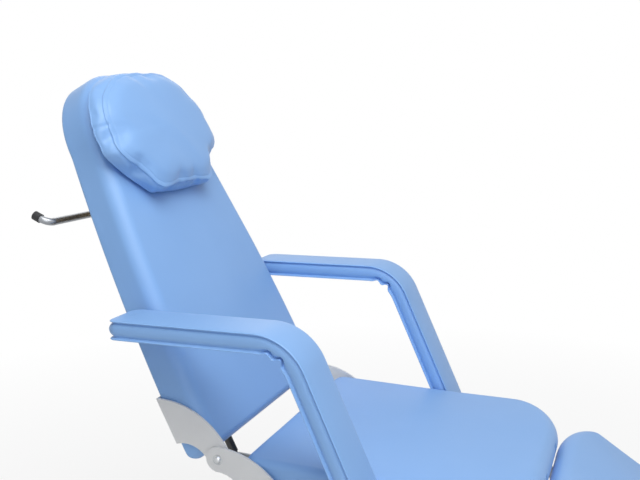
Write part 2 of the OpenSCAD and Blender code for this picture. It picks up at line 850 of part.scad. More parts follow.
module at_base_bolts() {
    for (side = [-1, 1], y = [-1, 1])
        translate([
            side * (block_foot_w + block_w) / 4,
            (block_front_y + block_back_y) / 2 + y * base_bolt_pitch / 2,
            base_hub_h
        ])
            children();
}

module base_bolts() {
    color(zinc) at_base_bolts() {
        translate([0, 0, block_foot_t]) hexagon(hex_r, hex_h);
        translate([0, 0, -base_bolt_depth])
            cylinder(r = base_bolt_r, h = base_bolt_depth + block_foot_t);
    }
}

module pump_block() {
    color(black) difference() {
        union() {
            translate([-block_w / 2, block_front_y, base_hub_h])
                cube([block_w, block_len, block_h]);
            translate([-block_foot_w / 2, block_front_y, base_hub_h])
                cube([block_foot_w, block_len, block_foot_t]);
            on_both_sides() upright(pedal_w / 2 + pedal_gap, pedal_ear_t) {
                bar([block_back_y, pedal_z], [pedal_y, pedal_z], 2 * pedal_eye_r);
                disc_at([pedal_y, pedal_z], pedal_eye_r);
            }
        }
        translate([0, 0, base_hub_h - overrun])
            cylinder(r = pump_r, h = block_h + 2 * overrun);
        shaft(-block_w / 2, [pedal_y, pedal_z], pedal_pin_r, block_w);
        at_base_bolts() translate([0, 0, -overrun])
            cylinder(r = base_bolt_r, h = block_foot_t + 2 * overrun);
    }
}

module pump_cylinder() {
    color(black) difference() {
        translate([0, 0, base_hub_h]) cylinder(r = pump_r, h = pump_top_z - base_hub_h);
        translate([0, 0, base_hub_h + pump_floor_t])
            cylinder(r = pump_bore_r, h = pump_top_z - base_hub_h);
    }
}

module guide_bush() {
    color(bronze) difference() {
        union() {
            translate([0, 0, pump_top_z - bush_len]) cylinder(r = pump_bore_r, h = bush_len);
            translate([0, 0, pump_top_z]) cylinder(r = bush_flange_r, h = bush_flange_t);
        }
        translate([0, 0, pump_top_z - bush_len - overrun])
            cylinder(r = column_r + run_clear, h = bush_len + bush_flange_t + 2 * overrun);
    }
}

// Foot pedal
module at_pedal() {
    translate([0, pedal_y, pedal_z]) rotate([pedal_tilt, 0, 0]) children();
}

module pedal_pin() {
    half = pedal_w / 2 + pedal_gap + pedal_ear_t;
    color(zinc) union() {
        shaft(-half, [pedal_y, pedal_z], pedal_pin_r, 2 * half);
        on_both_sides() shaft(half, [pedal_y, pedal_z], pedal_eye_r, tread_t);
    }
}

module pedal_arm() {
    color(black) at_pedal() difference() {
        union() {
            upright(-pedal_w / 2, pedal_w) {
                disc_at([0, 0], pedal_eye_r);
                bar([0, 0], [pedal_len, 0], pedal_t);
            }
            translate([-pedal_pad_w / 2, pedal_len - pedal_pad_len, pedal_t / 2])
                cube([pedal_pad_w, pedal_pad_len, tread_t]);
        }
        shaft(-pedal_w, [0, 0], pedal_pin_r + run_clear, 2 * pedal_w);
    }
}

module pedal_pad() {
    top = pedal_t / 2 + tread_t + pedal_pad_t;
    color(black) at_pedal() difference() {
        translate([-pedal_pad_w / 2, pedal_len - pedal_pad_len, pedal_t / 2 + tread_t])
            cube([pedal_pad_w, pedal_pad_len, pedal_pad_t]);
        for (i = [-1:1])
            translate([
                -pedal_pad_w,
                pedal_len - pedal_pad_len / 2 + i * groove_pitch - groove_w / 2,
                top - groove_d
            ])
                cube([2 * pedal_pad_w, groove_w, groove_d + overrun]);
    }
}

// Column
module lift_column() {
    color(steel) rotate_extrude() polygon([
        [0, column_low_z],
        [column_r, column_low_z],
        [column_r, column_top_z],
        [spigot_r, column_top_z],
        [spigot_r, swivel_top_z],
        [thread_r, swivel_top_z],
        [thread_r, swivel_top_z + nut_washer_t + nut_h],
        [0, swivel_top_z + nut_washer_t + nut_h]
    ]);
}

module thrust_washer() {
    color(bronze) translate([0, 0, column_top_z]) difference() {
        cylinder(r = (column_r + hub_r) / 2, h = thrust_t);
        translate([0, 0, -overrun]) cylinder(r = spigot_r, h = thrust_t + 2 * overrun);
    }
}

module hub_nut() {
    color(zinc) translate([0, 0, swivel_top_z]) difference() {
        union() {
            cylinder(r = nut_washer_r, h = nut_washer_t);
            translate([0, 0, nut_washer_t]) hexagon(nut_r, nut_h);
        }
        translate([0, 0, -overrun])
            cylinder(r = thread_r, h = nut_washer_t + nut_h + 2 * overrun);
    }
}

module at_hub_bolts() {
    for (side = [-1, 1], y = [-1, 1])
        translate([side * hub_bolt_x, y * cross_y, 0]) children();
}

module swivel_hub() {
    boss_z = column_top_z + thrust_t;
    half_y = cross_y + cross_w / 2;
    color(frame_grey) difference() {
        union() {
            translate([0, 0, boss_z]) cylinder(r = hub_r, h = hub_bottom_z - boss_z);
            translate([-hub_half_x, -half_y, hub_bottom_z])
                cube([2 * hub_half_x, 2 * half_y, hub_t]);
        }
        translate([0, 0, boss_z - overrun])
            cylinder(r = spigot_r + run_clear, h = rail_bottom_z - boss_z + 2 * overrun);
        at_hub_bolts() translate([0, 0, hub_bottom_z - overrun])
            cylinder(r = hub_bolt_r, h = hub_t + 2 * overrun);
    }
}

module hub_bolts() {
    color(zinc) at_hub_bolts() {
        translate([0, 0, hub_bottom_z - hex_h]) hexagon(hex_r, hex_h);
        translate([0, 0, hub_bottom_z])
            cylinder(r = hub_bolt_r, h = hub_t + tube_wall + hex_h + overrun);
        translate([0, 0, rail_bottom_z + tube_wall]) hexagon(hex_r, hex_h);
    }
}

// Seat frame
rail_screw_shares = [0.08, 0.56, 0.94];
module at_rail_screws() {
    for (t = rail_screw_shares)
        translate([seat_rail_x, rail_front_y + (rail_back_y - rail_front_y) * t, rail_bottom_z])
            children();
}

module seat_rail() {
    color(frame_grey) difference() {
        tube_along_y(seat_rail_x, rail_front_y, rail_back_y, rail_bottom_z, rail_w, rail_h);
        at_rail_screws() screw_hole(rail_h + overrun);
    }
}

module seat_rail_left() {
    seat_rail();
}

module seat_rail_right() {
    to_right() seat_rail();
}

module cross_tube(y) {
    color(frame_grey) difference() {
        tube_along_x(rail_in_x, y, rail_bottom_z, cross_w, rail_h);
        at_hub_bolts() translate([0, 0, rail_bottom_z - overrun])
            cylinder(r = hub_bolt_r, h = tube_wall + 2 * overrun);
    }
}

module cross_tube_front() {
    cross_tube(-cross_y);
}

module cross_tube_rear() {
    cross_tube(cross_y);
}

module seat_board() {
    color(wood) difference() {
        translate([0, 0, board_bottom_z])
            board(seat_outline(), seat_front_y + board_set_back - overrun);
        on_both_sides() {
            leg_slot(board_bottom_z - overrun, pad_bottom_z + overrun);
            at_rail_screws() screw_hole(rail_h + screw_depth);
            at_seat_plate_screws() screw_hole(plate_t + screw_depth);
        }
    }
}

module seat_cushion() {
    o = seat_outline();
    color(vinyl) difference() {
        translate([0, 0, pad_bottom_z]) pad(
            o,
            end_rounding(o, pad_foot_r, roll_end_r),
            end_rounding(o, pad_edge_r, roll_end_r),
            pad_t,
            pad_crown
        );
        on_both_sides()
            leg_slot(pad_bottom_z - overrun, leg_pivot_z + leg_eye_r + leg_slot_clear);
    }
}

// Slot for a legrest hinge, from height low to height high
module leg_slot(low, high) {
    translate([leg_slot_x - leg_slot_w / 2, seat_front_y - overrun, low])
        cube([leg_slot_w, leg_pivot_y + leg_slot_back - seat_front_y + overrun, high - low]);
}

module seat_screws() {
    color(zinc) on_both_sides() {
        at_rail_screws() screw(rail_h + screw_depth);
        at_seat_plate_screws() screw(plate_t + screw_depth);
    }
}

// Backrest hinge plates, drawn with the plate pointing to +Y from its pivot at z = 0
module plate_shape() {
    difference() {
        union() {
            circle(plate_eye_r);
            intersection() {
                disc_at([0, -plate_outer_centre()], plate_outer_r);
                translate([0, flange_low_w]) square([plate_outer_r, plate_outer_r]);
            }
        }
        disc_at([0, -plate_eye_r - plate_inner_r], plate_inner_r);
    }
}

module hinge_plate(x, bore_r) {
    reach = x + plate_t - plate_back_x + flange_w;
    color(steel) difference() {
        union() {
            upright(x, plate_t) difference() {
                plate_shape();
                circle(bore_r);
            }
            translate([x + plate_t - reach, flange_start, flange_low_w])
                cube([reach, flange_end - flange_start, plate_t]);
        }
        at_flange_screws() screw_hole(plate_t + overrun);
    }
}

module at_flange_screws() {
    for (i = [-1:1])
        translate([plate_back_x - flange_screw_in, flange_mid + i * flange_pitch, flange_low_w])
            children();
}

module at_seat_plate() {
    translate([0, pivot_y, pivot_z]) mirror([0, 1, 0]) children();
}

module at_seat_plate_screws() {
    at_seat_plate() at_flange_screws() children();
}

module seat_hinge_plate_left() {
    at_seat_plate() hinge_plate(plate_seat_x, pivot_r);
}

module seat_hinge_plate_right() {
    to_right() seat_hinge_plate_left();
}

module back_hinge_plate_left() {
    at_back() hinge_plate(plate_back_x, pivot_r + run_clear);
}

module back_hinge_plate_right() {
    to_right() back_hinge_plate_left();
}

// Bolts with a washer and a domed head outside, and a nut inside
module pivot_bolts() {
    out_x = plate_seat_x + plate_t;
    nut_x = plate_back_x - plate_gap / 2;
    dome_r = (pivot_head_r * pivot_head_r + pivot_head_h * pivot_head_h) / 2 / pivot_head_h;
    color(zinc) on_both_sides() translate([0, pivot_y, pivot_z]) {
        shaft(nut_x - hex_h, [0, 0], pivot_r, out_x - nut_x + hex_h);
        translate([nut_x - hex_h, 0, 0]) rotate([0, 90, 0]) hexagon(hex_r, hex_h);
        shaft(out_x, [0, 0], pivot_washer_r, pivot_washer_t);
        translate([out_x + pivot_washer_t, 0, 0]) rotate([0, 90, 0])
            rotate_extrude() intersection() {
                disc_at([0, pivot_head_h - dome_r], dome_r);
                square([pivot_head_r, pivot_head_h]);
            }
    }
}

module pivot_washers() {
    color([0.92, 0.92, 0.90]) on_both_sides()
        upright(plate_back_x + plate_t + run_clear, pivot_washer_t - run_clear) difference() {
            disc_at([pivot_y, pivot_z], pivot_washer_r);
            disc_at([pivot_y, pivot_z], pivot_r);
        }
}

// Lower fork of the strut
module strut_fork() {
    low_z = strut_low_pin[1] - strut_eye_r;
    root_y = cross_y + cross_w / 2;
    color(frame_grey) difference() {
        union() {
            for (x = [-strut_x - fork_in - fork_t, -strut_x + fork_in])
                upright(x, fork_t) {
                    bar([root_y, strut_low_pin[1]], strut_low_pin, 2 * strut_eye_r);
                    disc_at(strut_low_pin, strut_eye_r);
                }
            translate([-strut_x - fork_in, root_y, low_z])
                cube([2 * fork_in, fork_web_len, 2 * strut_eye_r]);
        }
        shaft(-strut_x - strut_r - fork_t, strut_low_pin, strut_pin_r, 2 * (strut_r + fork_t));
    }
}

module strut_pin() {
    half = fork_in + fork_t;
    color(zinc) union() {
        shaft(-strut_x - half, strut_low_pin, strut_pin_r, 2 * half);
        for (x = [-strut_x - half - strut_pin_head_t, -strut_x + half])
            shaft(x, strut_low_pin, strut_pin_head_r, strut_pin_head_t);
    }
}

// Strut, drawn along +Y from its lower pin
module at_strut() {
    at_back() translate([-strut_x, -strut_low, -strut_back]) children();
}

module strut_cylinder() {
    color(black) at_strut() difference() {
        union() {
            upright(-strut_eye_w / 2, strut_eye_w) {
                circle(strut_eye_r);
                bar([0, 0], [strut_neck_len + overrun, 0], strut_eye_r);
            }
            translate([0, strut_neck_len, 0]) rotate([-90, 0, 0])
                cylinder(r = strut_r, h = strut_body_len - strut_neck_len);
        }
        shaft(-strut_eye_w, [0, 0], strut_pin_r + run_clear, 2 * strut_eye_w);
        translate([0, strut_bore_start, 0])
            rotate([-90, 0, 0]) cylinder(r = strut_rod_r + run_clear, h = strut_body_len);
    }
}

module strut_rod() {
    color(steel) at_strut() union() {
        translate([0, strut_rod_start, 0]) rotate([-90, 0, 0])
            cylinder(r = strut_rod_r, h = strut_len - strut_rod_start);
        shaft(-strut_eye_w / 2, [strut_len, 0], strut_eye_r, strut_eye_w);
    }
}

// Backrest
module back_board() {
    color(wood) at_back() difference() {
        translate([0, back_setback, back_board_w]) board(back_outline(), 0);
        on_both_sides() {
            at_flange_screws() screw_hole(plate_t + screw_depth);
            at_back_rail_screws() screw_hole(back_rail_h + screw_depth);
        }
        at_roll_screws() screw_hole(roll_flange_t + screw_depth);
    }
}

module back_cushion() {
    o = back_outline();
    color(vinyl) at_back() translate([0, back_setback, back_pad_w])
        pad(o, same(o, pad_foot_r), back_rounding(o), pad_t, back_crown, back_heel);
}

module back_screws() {
    color(zinc) at_back() {
        on_both_sides() {
            at_flange_screws() screw(plate_t + screw_depth);
            at_back_rail_screws() screw(back_rail_h + screw_depth);
        }
        at_roll_screws() screw(roll_flange_t + screw_depth);
    }
}

module at_back_rail_screws() {
    for (t = rail_screw_shares)
        translate([
            back_rail_x,
            back_rail_low + (back_rail_high - back_rail_low) * t,
            back_rail_bottom_w
        ])
            children();
}

module back_rail_left() {
    color(black) at_back() difference() {
        tube_along_y(
            back_rail_x,
            back_rail_low,
            back_rail_high,
            back_rail_bottom_w,
            back_rail_w,
            back_rail_h
        );
        at_back_rail_screws() screw_hole(back_rail_h + overrun);
    }
}

module back_rail_right() {
    to_right() back_rail_left();
}

module back_cross_tube() {
    color(black) at_back() tube_along_x(
        back_rail_x - back_rail_w / 2,
        back_cross_v,
        back_rail_bottom_w,
        cross_w,
        back_rail_h
    );
}

// Ears of the strut's upper pin, which also carry the release shaft
module strut_ears() {
    up_pin = [strut_up_v, -strut_back];
    lever_pin = [lever_v, lever_w];
    web_t = fork_t;
    color(black) at_back() difference() {
        union() {
            for (x = [-strut_x - ears_in - fork_t, -strut_x + ears_in])
                upright(x, fork_t) {
                    disc_at(up_pin, strut_eye_r);
                    bar(up_pin, lever_pin, 2 * strut_eye_r - ear_waist);
                    disc_at(lever_pin, strut_eye_r);
                }
            translate([
                -strut_x - ears_in,
                back_cross_v - cross_w / 2,
                back_rail_bottom_w - web_t
            ])
                cube([2 * ears_in, cross_w, web_t]);
            for (x = [-strut_x - ears_in - fork_t - strut_pin_head_t, -strut_x + ears_in + fork_t])
                shaft(x, up_pin, strut_pin_head_r, strut_pin_head_t);
        }
        translate([-back_rail_x, back_cross_v - cross_w / 2, back_rail_bottom_w])
            cube([2 * back_rail_x, 2 * cross_w, back_rail_h]);
        shaft(-back_rail_x, lever_pin, lever_shaft_r + run_clear, 2 * back_rail_x);
    }
}

// Release lever: shaft through the ears, with its arm turned up the back
module release_lever() {
    ear_out = ears_in + fork_t;
    start_x = -strut_x - ear_out - 2 * lever_ring_t;
    end_x = start_x + lever_shaft_len;
    color(zinc) at_back() translate([0, lever_v, lever_w]) {
        shaft(start_x, [0, 0], lever_shaft_r, lever_shaft_len);
        shaft(
            -strut_x - ear_out - lever_ring_t - knob_gap,
            [0, 0],
            lever_ring_r,
            lever_ring_t
        );
        shaft(-strut_x + ear_out + knob_gap, [0, 0], lever_ring_r, lever_ring_t);
        translate([end_x, 0, 0]) {
            sphere(lever_shaft_r);
            rotate([-90, 0, 0])
                cylinder(r = lever_shaft_r, h = lever_arm_len + lever_grip_len - lever_grip_r);
        }
    }
}

module lever_grip() {
    end_x = lever_shaft_len - strut_x - ears_in - fork_t - 2 * lever_ring_t;
    color(black) at_back()
        translate([end_x, lever_v + lever_arm_len, lever_w])
            rotate([-90, 0, 0]) difference() {
                union() {
                    cylinder(r = lever_grip_r, h = lever_grip_len - lever_grip_r);
                    translate([0, 0, lever_grip_len - lever_grip_r]) sphere(lever_grip_r);
                }
                translate([0, 0, -overrun]) cylinder(
                    r = lever_shaft_r,
                    h = lever_grip_len - lever_grip_r + overrun
                );
            }
}

// Paper roll rod, drawn from its flange behind the board
module at_roll() {
    translate([0, back_setback + roll_v, back_board_w]) children();
}

module at_roll_tip() {
    translate([-roll_end_x + roll_bend_r, 0, -roll_reach]) rotate([-roll_tip_turn, 0, 0]) children();
}

module paper_roll_rod() {
    color(steel) at_back() at_roll() difference() {
        union() {
            translate([roll_root_x, 0, -roll_flange_t])
                cylinder(r = roll_flange_r, h = roll_flange_t);
            translate([roll_root_x, 0, roll_bend_r - roll_reach])
                beaded_bar(roll_r, roll_reach - roll_bend_r);
            translate([roll_root_x - roll_bend_r, 0, roll_bend_r - roll_reach])
                rotate([-90, 0, 0])
                    rotate_extrude(angle = 90) translate([roll_bend_r, 0]) circle(roll_r);
            translate([roll_bend_r - roll_end_x, 0, -roll_reach])
                rotate([0, 90, 0])
                    beaded_bar(roll_r, roll_root_x + roll_end_x - 2 * roll_bend_r, true);
            at_roll_tip() translate([0, roll_bend_r, 0]) {
                rotate([0, 0, 180])
                    rotate_extrude(angle = 90) translate([roll_bend_r, 0]) circle(roll_r);
                translate([-roll_bend_r, 0, 0])
                    rotate([-90, 0, 0]) beaded_bar(roll_r, roll_tip_len);
            }
        }
        round_roll_flange() screw_hole(roll_flange_t + overrun);
    }
}

module round_roll_flange() {
    for (i = [-1:1])
        translate([roll_root_x, 0, 0])
            rotate(120 * i) translate([0, roll_screw_in, -roll_flange_t]) children();
}
module at_roll_screws() {
    at_roll() round_roll_flange() children();
}

module rod_end_cap() {
    color(black) at_back() at_roll() at_roll_tip()
        translate([-roll_bend_r, roll_bend_r + roll_tip_len - roll_cap_depth, 0])
            rotate([-90, 0, 0]) difference() {
                cylinder(r = roll_cap_r, h = roll_cap_len);
                translate([0, 0, -overrun])
                    cylinder(r = roll_r, h = roll_cap_depth + overrun);
            }
}

// Headrest pillow
pillow_bottom_w = pivot_drop + back_crown + soft_gap + strip_t;
module headrest_pillow() {
    o = pillow_outline();
    color(vinyl) at_back()
        translate([-pillow_off, back_setback + pillow_v, pillow_bottom_w])
            pad(o, same(o, pillow_edge_r), same(o, pillow_edge_r), pillow_t, pillow_crown);
}

module pillow_strips() {
    color(black) at_back() translate([-pillow_off, 0, 0]) on_both_sides() translate([
        strip_x - strip_w / 2,
        back_setback + pillow_v + pad_edge_r,
        pillow_bottom_w - strip_t
    ])
        cube([strip_w, strip_len, strip_t]);
}

// Legrest
module leg_board() {
    color(wood) at_leg() difference() {
        translate([0, leg_end_v, leg_board_w]) board(leg_outline(), board_set_back);
        on_both_sides() at_leg_screws() screw_hole(rail_h + screw_depth);
    }
}

module leg_cushion() {
    o = leg_outline();
    color(vinyl) at_leg() translate([0, leg_end_v, -pad_t / 2]) pad(
        o,
        end_rounding(o, pad_foot_r, roll_end_r),
        end_rounding(o, pad_edge_r, roll_end_r),
        pad_t,
        pad_crown
    );
}

leg_rail_x = leg_arm_x + leg_plate_t + back_rail_w / 2;
leg_rail_end = leg_end_v + leg_len - leg_rail_in;
module at_leg_screws() {
    for (t = rail_screw_shares)
        translate([
            leg_rail_x,
            leg_board_v + (leg_rail_end - leg_board_v) * t,
            leg_board_w - rail_h
        ])
            children();
}

module leg_rail_left() {
    elbow = [leg_board_v, leg_rail_mid_w];
    color(frame_grey) at_leg() difference() {
        union() {
            tube_along_y(
                leg_rail_x,
                leg_board_v,
                leg_rail_end,
                leg_board_w - rail_h,
                back_rail_w,
                rail_h
            );
            upright(leg_arm_x, leg_plate_t) {
                circle(leg_eye_r);
                bar([0, 0], elbow, leg_bar_w);
                disc_at(elbow, leg_bar_w / 2);
                bar(elbow, elbow + [leg_tail_len, 0], rail_h);
            }
        }
        shaft(leg_hinge_x, [0, 0], leg_pin_r + run_clear, 2 * leg_rail_x);
        at_leg_screws() screw_hole(rail_h + overrun);
    }
}

module leg_rail_right() {
    to_right() leg_rail_left();
}

module leg_screws() {
    color(zinc) at_leg() on_both_sides() at_leg_screws() screw(rail_h + screw_depth);
}

// Lugs of the legrest hinges on the front cross tube
module leg_hinge_lugs() {
    pivot = [leg_pivot_y, leg_pivot_z];
    mid_z = rail_bottom_z + rail_h / 2;
    elbow = [leg_pivot_y + leg_lug_back, mid_z];
    color(frame_grey) on_both_sides()
        upright(leg_hinge_x - leg_plate_t / 2, leg_plate_t) difference() {
            union() {
                bar(elbow, [-cross_y - cross_w / 2, mid_z], 2 * leg_eye_r);
                disc_at(elbow, leg_eye_r);
                bar(elbow, pivot, leg_bar_w);
                disc_at(pivot, leg_eye_r);
            }
            disc_at(pivot, leg_pin_r);
        }
}

module leg_hinge_pins() {
    from = leg_hinge_x - leg_plate_t / 2;
    to = leg_arm_x + leg_plate_t + leg_side_gap;
    color(zinc) on_both_sides() translate([0, leg_pivot_y, leg_pivot_z]) {
        shaft(from, [0, 0], leg_pin_r, to - from);
        shaft(from - leg_pin_head_t, [0, 0], leg_pin_head_r, leg_pin_head_t);
        shaft(to, [0, 0], leg_pin_head_r, leg_pin_head_t);
    }
}

// Armrests, drawn for the left side of the sitter
// Bent bar of three lengths that meet inside two weld beads
module armrest_tube_left() {
    leg = arm_line(arm_arc);
    color(steel) at_arm() translate([arm_mid_x, 0, 0]) {
        translate([0, 0, -arm_pad_t / 2])
            rotate([-90, 0, 0]) beaded_bar(arm_tube_r, arm_back_len - arm_tip_len);
        translate([0, 0, -arm_bend_r]) rotate([0, -90, 180])
            rotate_extrude(angle = arm_turn) translate([arm_mid_r, 0]) circle(arm_tube_r);
        translate([0, leg[0], leg[1]])
            rotate([90 + arm_turn, 0, 0]) beaded_bar(arm_tube_r, arm_tube_leg);
    }
}

module armrest_tube_right() {
    to_right() armrest_tube_left();
}

// Pad section at distance s: rounded box shrunk by d on all sides, or a circle for the tube
section_points = 16;
section_share = 0.5;
function rounded(c) = sign(c) * pow(abs(c), section_share);
function arm_ring(s, d) = arm_points(s, [
    for (i = [0:section_points - 1])
        let (a = 360 * (i + 0.5) / section_points)
        [(arm_pad_w / 2 - d) * rounded(cos(a)), (arm_pad_t / 2 - d) * rounded(sin(a))]
]);
function arm_hole(s) = arm_points(s, [
    for (i = [0:section_points - 1])
        let (a = 360 * (i + 0.5) / section_points, r = (arm_tube_r + arm_fit) / cos(180 / section_points))
        [r * cos(a), r * sin(a)]
]);
function arm_points(s, section) =
    let (a = arm_turn_at(s), mid = arm_line(s))
    [for (p = section) [p[0], mid[0] - p[1] * sin(a), mid[1] + p[1] * cos(a)]];

bend_steps = 8;
module armrest_pad_left() {
    tip = -arm_back_len;
    end = arm_arc + arm_pad_leg;
    bend = [for (i = [0:bend_steps]) arm_arc * i / bend_steps];
    outside = [
        for (a = [0:22.5:90]) arm_ring(tip + arm_tip_r * (1 - cos(a)), arm_tip_r * (1 - sin(a))),
        arm_ring(tip / 2, 0),
        for (s = bend) arm_ring(s, 0),
        arm_ring((arm_arc + end) / 2, 0),
        for (a = [0:30:90]) arm_ring(end - arm_mouth_r * (1 - sin(a)), arm_mouth_r * (1 - cos(a)))
    ];
    inside = [
        arm_hole(end),
        for (i = [bend_steps:-1:0]) arm_hole(bend[i]),
        arm_hole(tip + arm_tip_len - arm_fit)
    ];
    color(vinyl) at_arm() translate([arm_mid_x, 0, 0]) skin(
        concat(outside, inside),
        [0, -tip, -arm_pad_t / 2],
        [0, -tip - arm_tip_len + arm_fit, -arm_pad_t / 2]
    );
}

module armrest_pad_right() {
    to_right() armrest_pad_left();
}

// Sockets of the armrests on their outriggers
module at_socket() {
    top = arm_place(arm_arc + socket_start);
    translate([arm_mid_x, top[0], top[1]]) rotate([90 + arm_dip, 0, 0]) children();
}

module armrest_bracket_left() {
    color(frame_grey) difference() {
        union() {
            at_socket() cylinder(r = socket_r, h = socket_len);
            translate([
                rail_in_x,
                outrigger_mid[0] - outrigger_w / 2,
                rail_bottom_z - outrigger_h
            ])
                cube([arm_mid_x - rail_in_x, outrigger_w, outrigger_h]);
            shaft(arm_mid_x, socket_mid, boss_r, socket_r + boss_len);
        }
        at_socket() translate([0, 0, -socket_r])
            cylinder(r = arm_tube_r + run_clear, h = socket_len + 2 * socket_r);
        shaft(arm_mid_x, socket_mid, stud_r + run_clear, socket_r + boss_len + overrun);
    }
}

module armrest_bracket_right() {
    to_right() armrest_bracket_left();
}

module clamp_knob_left() {
    tip_x = arm_mid_x + arm_tube_r + knob_gap;
    face_x = arm_mid_x + socket_r + boss_len + knob_gap;
    color(black) difference() {
        union() {
            shaft(tip_x, socket_mid, stud_r, face_x - tip_x + overrun);
            shaft(face_x, socket_mid, knob_r, knob_t);
        }
        translate([face_x - overrun, socket_mid[0], socket_mid[1]])
            for (i = [1:knob_hollows])
                rotate([360 * i / knob_hollows, 0, 0])
                    translate([0, knob_r + knob_hollow_r / 2, 0])
                        rotate([0, 90, 0])
                            cylinder(r = knob_hollow_r, h = knob_t + 2 * overrun);
    }
}

module clamp_knob_right() {
    to_right() clamp_knob_left();
}

base_plate();
base_trim();
base_bolts();
pump_block();
pump_cylinder();
guide_bush();
pedal_pin();
pedal_arm();
pedal_pad();
lift_column();
thrust_washer();
hub_nut();
swivel_hub();
hub_bolts();
seat_rail_left();
seat_rail_right();
cross_tube_front();
cross_tube_rear();
seat_board();
seat_cushion();
seat_screws();
seat_hinge_plate_left();
seat_hinge_plate_right();
pivot_bolts();
pivot_washers();
strut_fork();
strut_pin();
armrest_bracket_left();
armrest_bracket_right();
leg_hinge_lugs();
leg_hinge_pins();
back_board();
back_cushion();
back_hinge_plate_left();
back_hinge_plate_right();
back_screws();
back_rail_left();
back_rail_right();
back_cross_tube();
strut_ears();
paper_roll_rod();
rod_end_cap();
headrest_pillow();
pillow_strips();
leg_board();
leg_cushion();
leg_rail_left();
leg_rail_right();
leg_screws();
armrest_tube_left();
armrest_tube_right();
armrest_pad_left();
armrest_pad_right();
clamp_knob_left();
clamp_knob_right();
strut_cylinder();
strut_rod();
release_lever();
lever_grip();
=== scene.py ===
import math

import bpy
import numpy as np
from mathutils import Matrix, Vector, noise
from mathutils.kdtree import KDTree


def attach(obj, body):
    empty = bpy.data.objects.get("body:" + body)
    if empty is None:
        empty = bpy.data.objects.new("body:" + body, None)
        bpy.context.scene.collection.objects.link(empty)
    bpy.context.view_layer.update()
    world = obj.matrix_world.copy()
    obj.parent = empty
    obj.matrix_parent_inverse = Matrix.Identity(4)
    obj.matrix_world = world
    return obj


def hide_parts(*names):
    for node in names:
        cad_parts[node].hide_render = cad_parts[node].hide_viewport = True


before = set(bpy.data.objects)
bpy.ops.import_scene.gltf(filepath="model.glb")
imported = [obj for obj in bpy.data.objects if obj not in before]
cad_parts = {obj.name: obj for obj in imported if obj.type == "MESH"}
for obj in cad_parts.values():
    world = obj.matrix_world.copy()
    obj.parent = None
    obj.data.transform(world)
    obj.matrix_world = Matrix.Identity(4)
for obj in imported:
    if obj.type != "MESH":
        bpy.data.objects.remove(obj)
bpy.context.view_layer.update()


# Camera
# A camera at chest height beside the legrest, on the sitter's right, looking slightly down,
# at the distance and with the lens that the photograph's edges give.
camera_data = bpy.data.cameras.new("camera")
camera_data.sensor_width = 36.0
camera_data.lens = 46.04
camera = bpy.data.objects.new("camera", camera_data)
bpy.context.scene.collection.objects.link(camera)
camera.location = (-1.6755, -0.4497, 1.3230)
camera_yaw, camera_pitch = math.radians(21.78), math.radians(9.84)
view_line = Vector((
    math.cos(camera_yaw) * math.cos(camera_pitch),
    math.sin(camera_yaw) * math.cos(camera_pitch),
    -math.sin(camera_pitch),
))
camera.rotation_euler = view_line.to_track_quat("-Z", "Y").to_euler()
bpy.context.scene.camera = camera


# Base plate and pump block
# Grey cast iron, sand cast, filled and painted semi-gloss black.
# The disc is bolted to the floor plate of the pump block and carries the column.
def linear(hex_colour):
    """Turns an sRGB hex colour to the linear one that a shader takes."""
    parts = [int(hex_colour[i:i + 2], 16) / 255 for i in (1, 3, 5)]
    return (*[c / 12.92 if c <= 0.04045 else ((c + 0.055) / 1.055) ** 2.4 for c in parts], 1.0)


def add_node(tree, kind, settings=None, links=None):
    """Adds a node, with its settings and inputs, and links its inputs to other nodes' outputs."""
    node = tree.nodes.new(kind)
    for key, value in (settings or {}).items():
        if isinstance(key, str) and key not in node.inputs and hasattr(node, key):
            setattr(node, key, value)
        else:
            node.inputs[key].default_value = value
    for key, source in (links or {}).items():
        tree.links.new(source, node.inputs[key])
    return node


def new_finish(name, **settings):
    """Starts a finish: a principled shader with plain settings and an object-space pattern."""
    finish = bpy.data.materials.new(name)
    finish.use_nodes = True
    tree = finish.node_tree
    tree.nodes.clear()
    shader = add_node(tree, "ShaderNodeBsdfPrincipled", {
        key.replace("_", " ").title().replace("Ior", "IOR"): value
        for key, value in settings.items()
    })
    add_node(tree, "ShaderNodeOutputMaterial", {}, {"Surface": shader.outputs[0]})
    place = add_node(tree, "ShaderNodeTexCoord").outputs["Object"]
    return finish, tree, shader, place


def tint(tree, shader, factor, stops):
    """Colours the shader by a pattern: stops are places along it with their hex colours."""
    ramp = add_node(tree, "ShaderNodeValToRGB", {}, {"Fac": factor})
    elements = ramp.color_ramp.elements
    while len(elements) < len(stops):
        elements.new(0.5)
    for element, (where, colour) in zip(elements, stops):
        element.position = where
        element.color = linear(colour)
    tree.links.new(ramp.outputs["Color"], shader.inputs["Base Color"])


def gloss(tree, shader, factor, low, high):
    """Lets the roughness drift between two values along a pattern."""
    drift = add_node(tree, "ShaderNodeMapRange", {"To Min": low, "To Max": high}, {"Value": factor})
    tree.links.new(drift.outputs["Result"], shader.inputs["Roughness"])


def relief(tree, shader, height, depth, strength=1.0):
    """Raises the surface by a pattern, depth in metres."""
    bump = add_node(
        tree, "ShaderNodeBump", {"Strength": strength, "Distance": depth}, {"Height": height}
    )
    tree.links.new(bump.outputs["Normal"], shader.inputs["Normal"])


def dress(finish, *names):
    """Puts a finish on CAD nodes through their material slots."""
    for name in names:
        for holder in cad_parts[name].material_slots:
            holder.material = finish


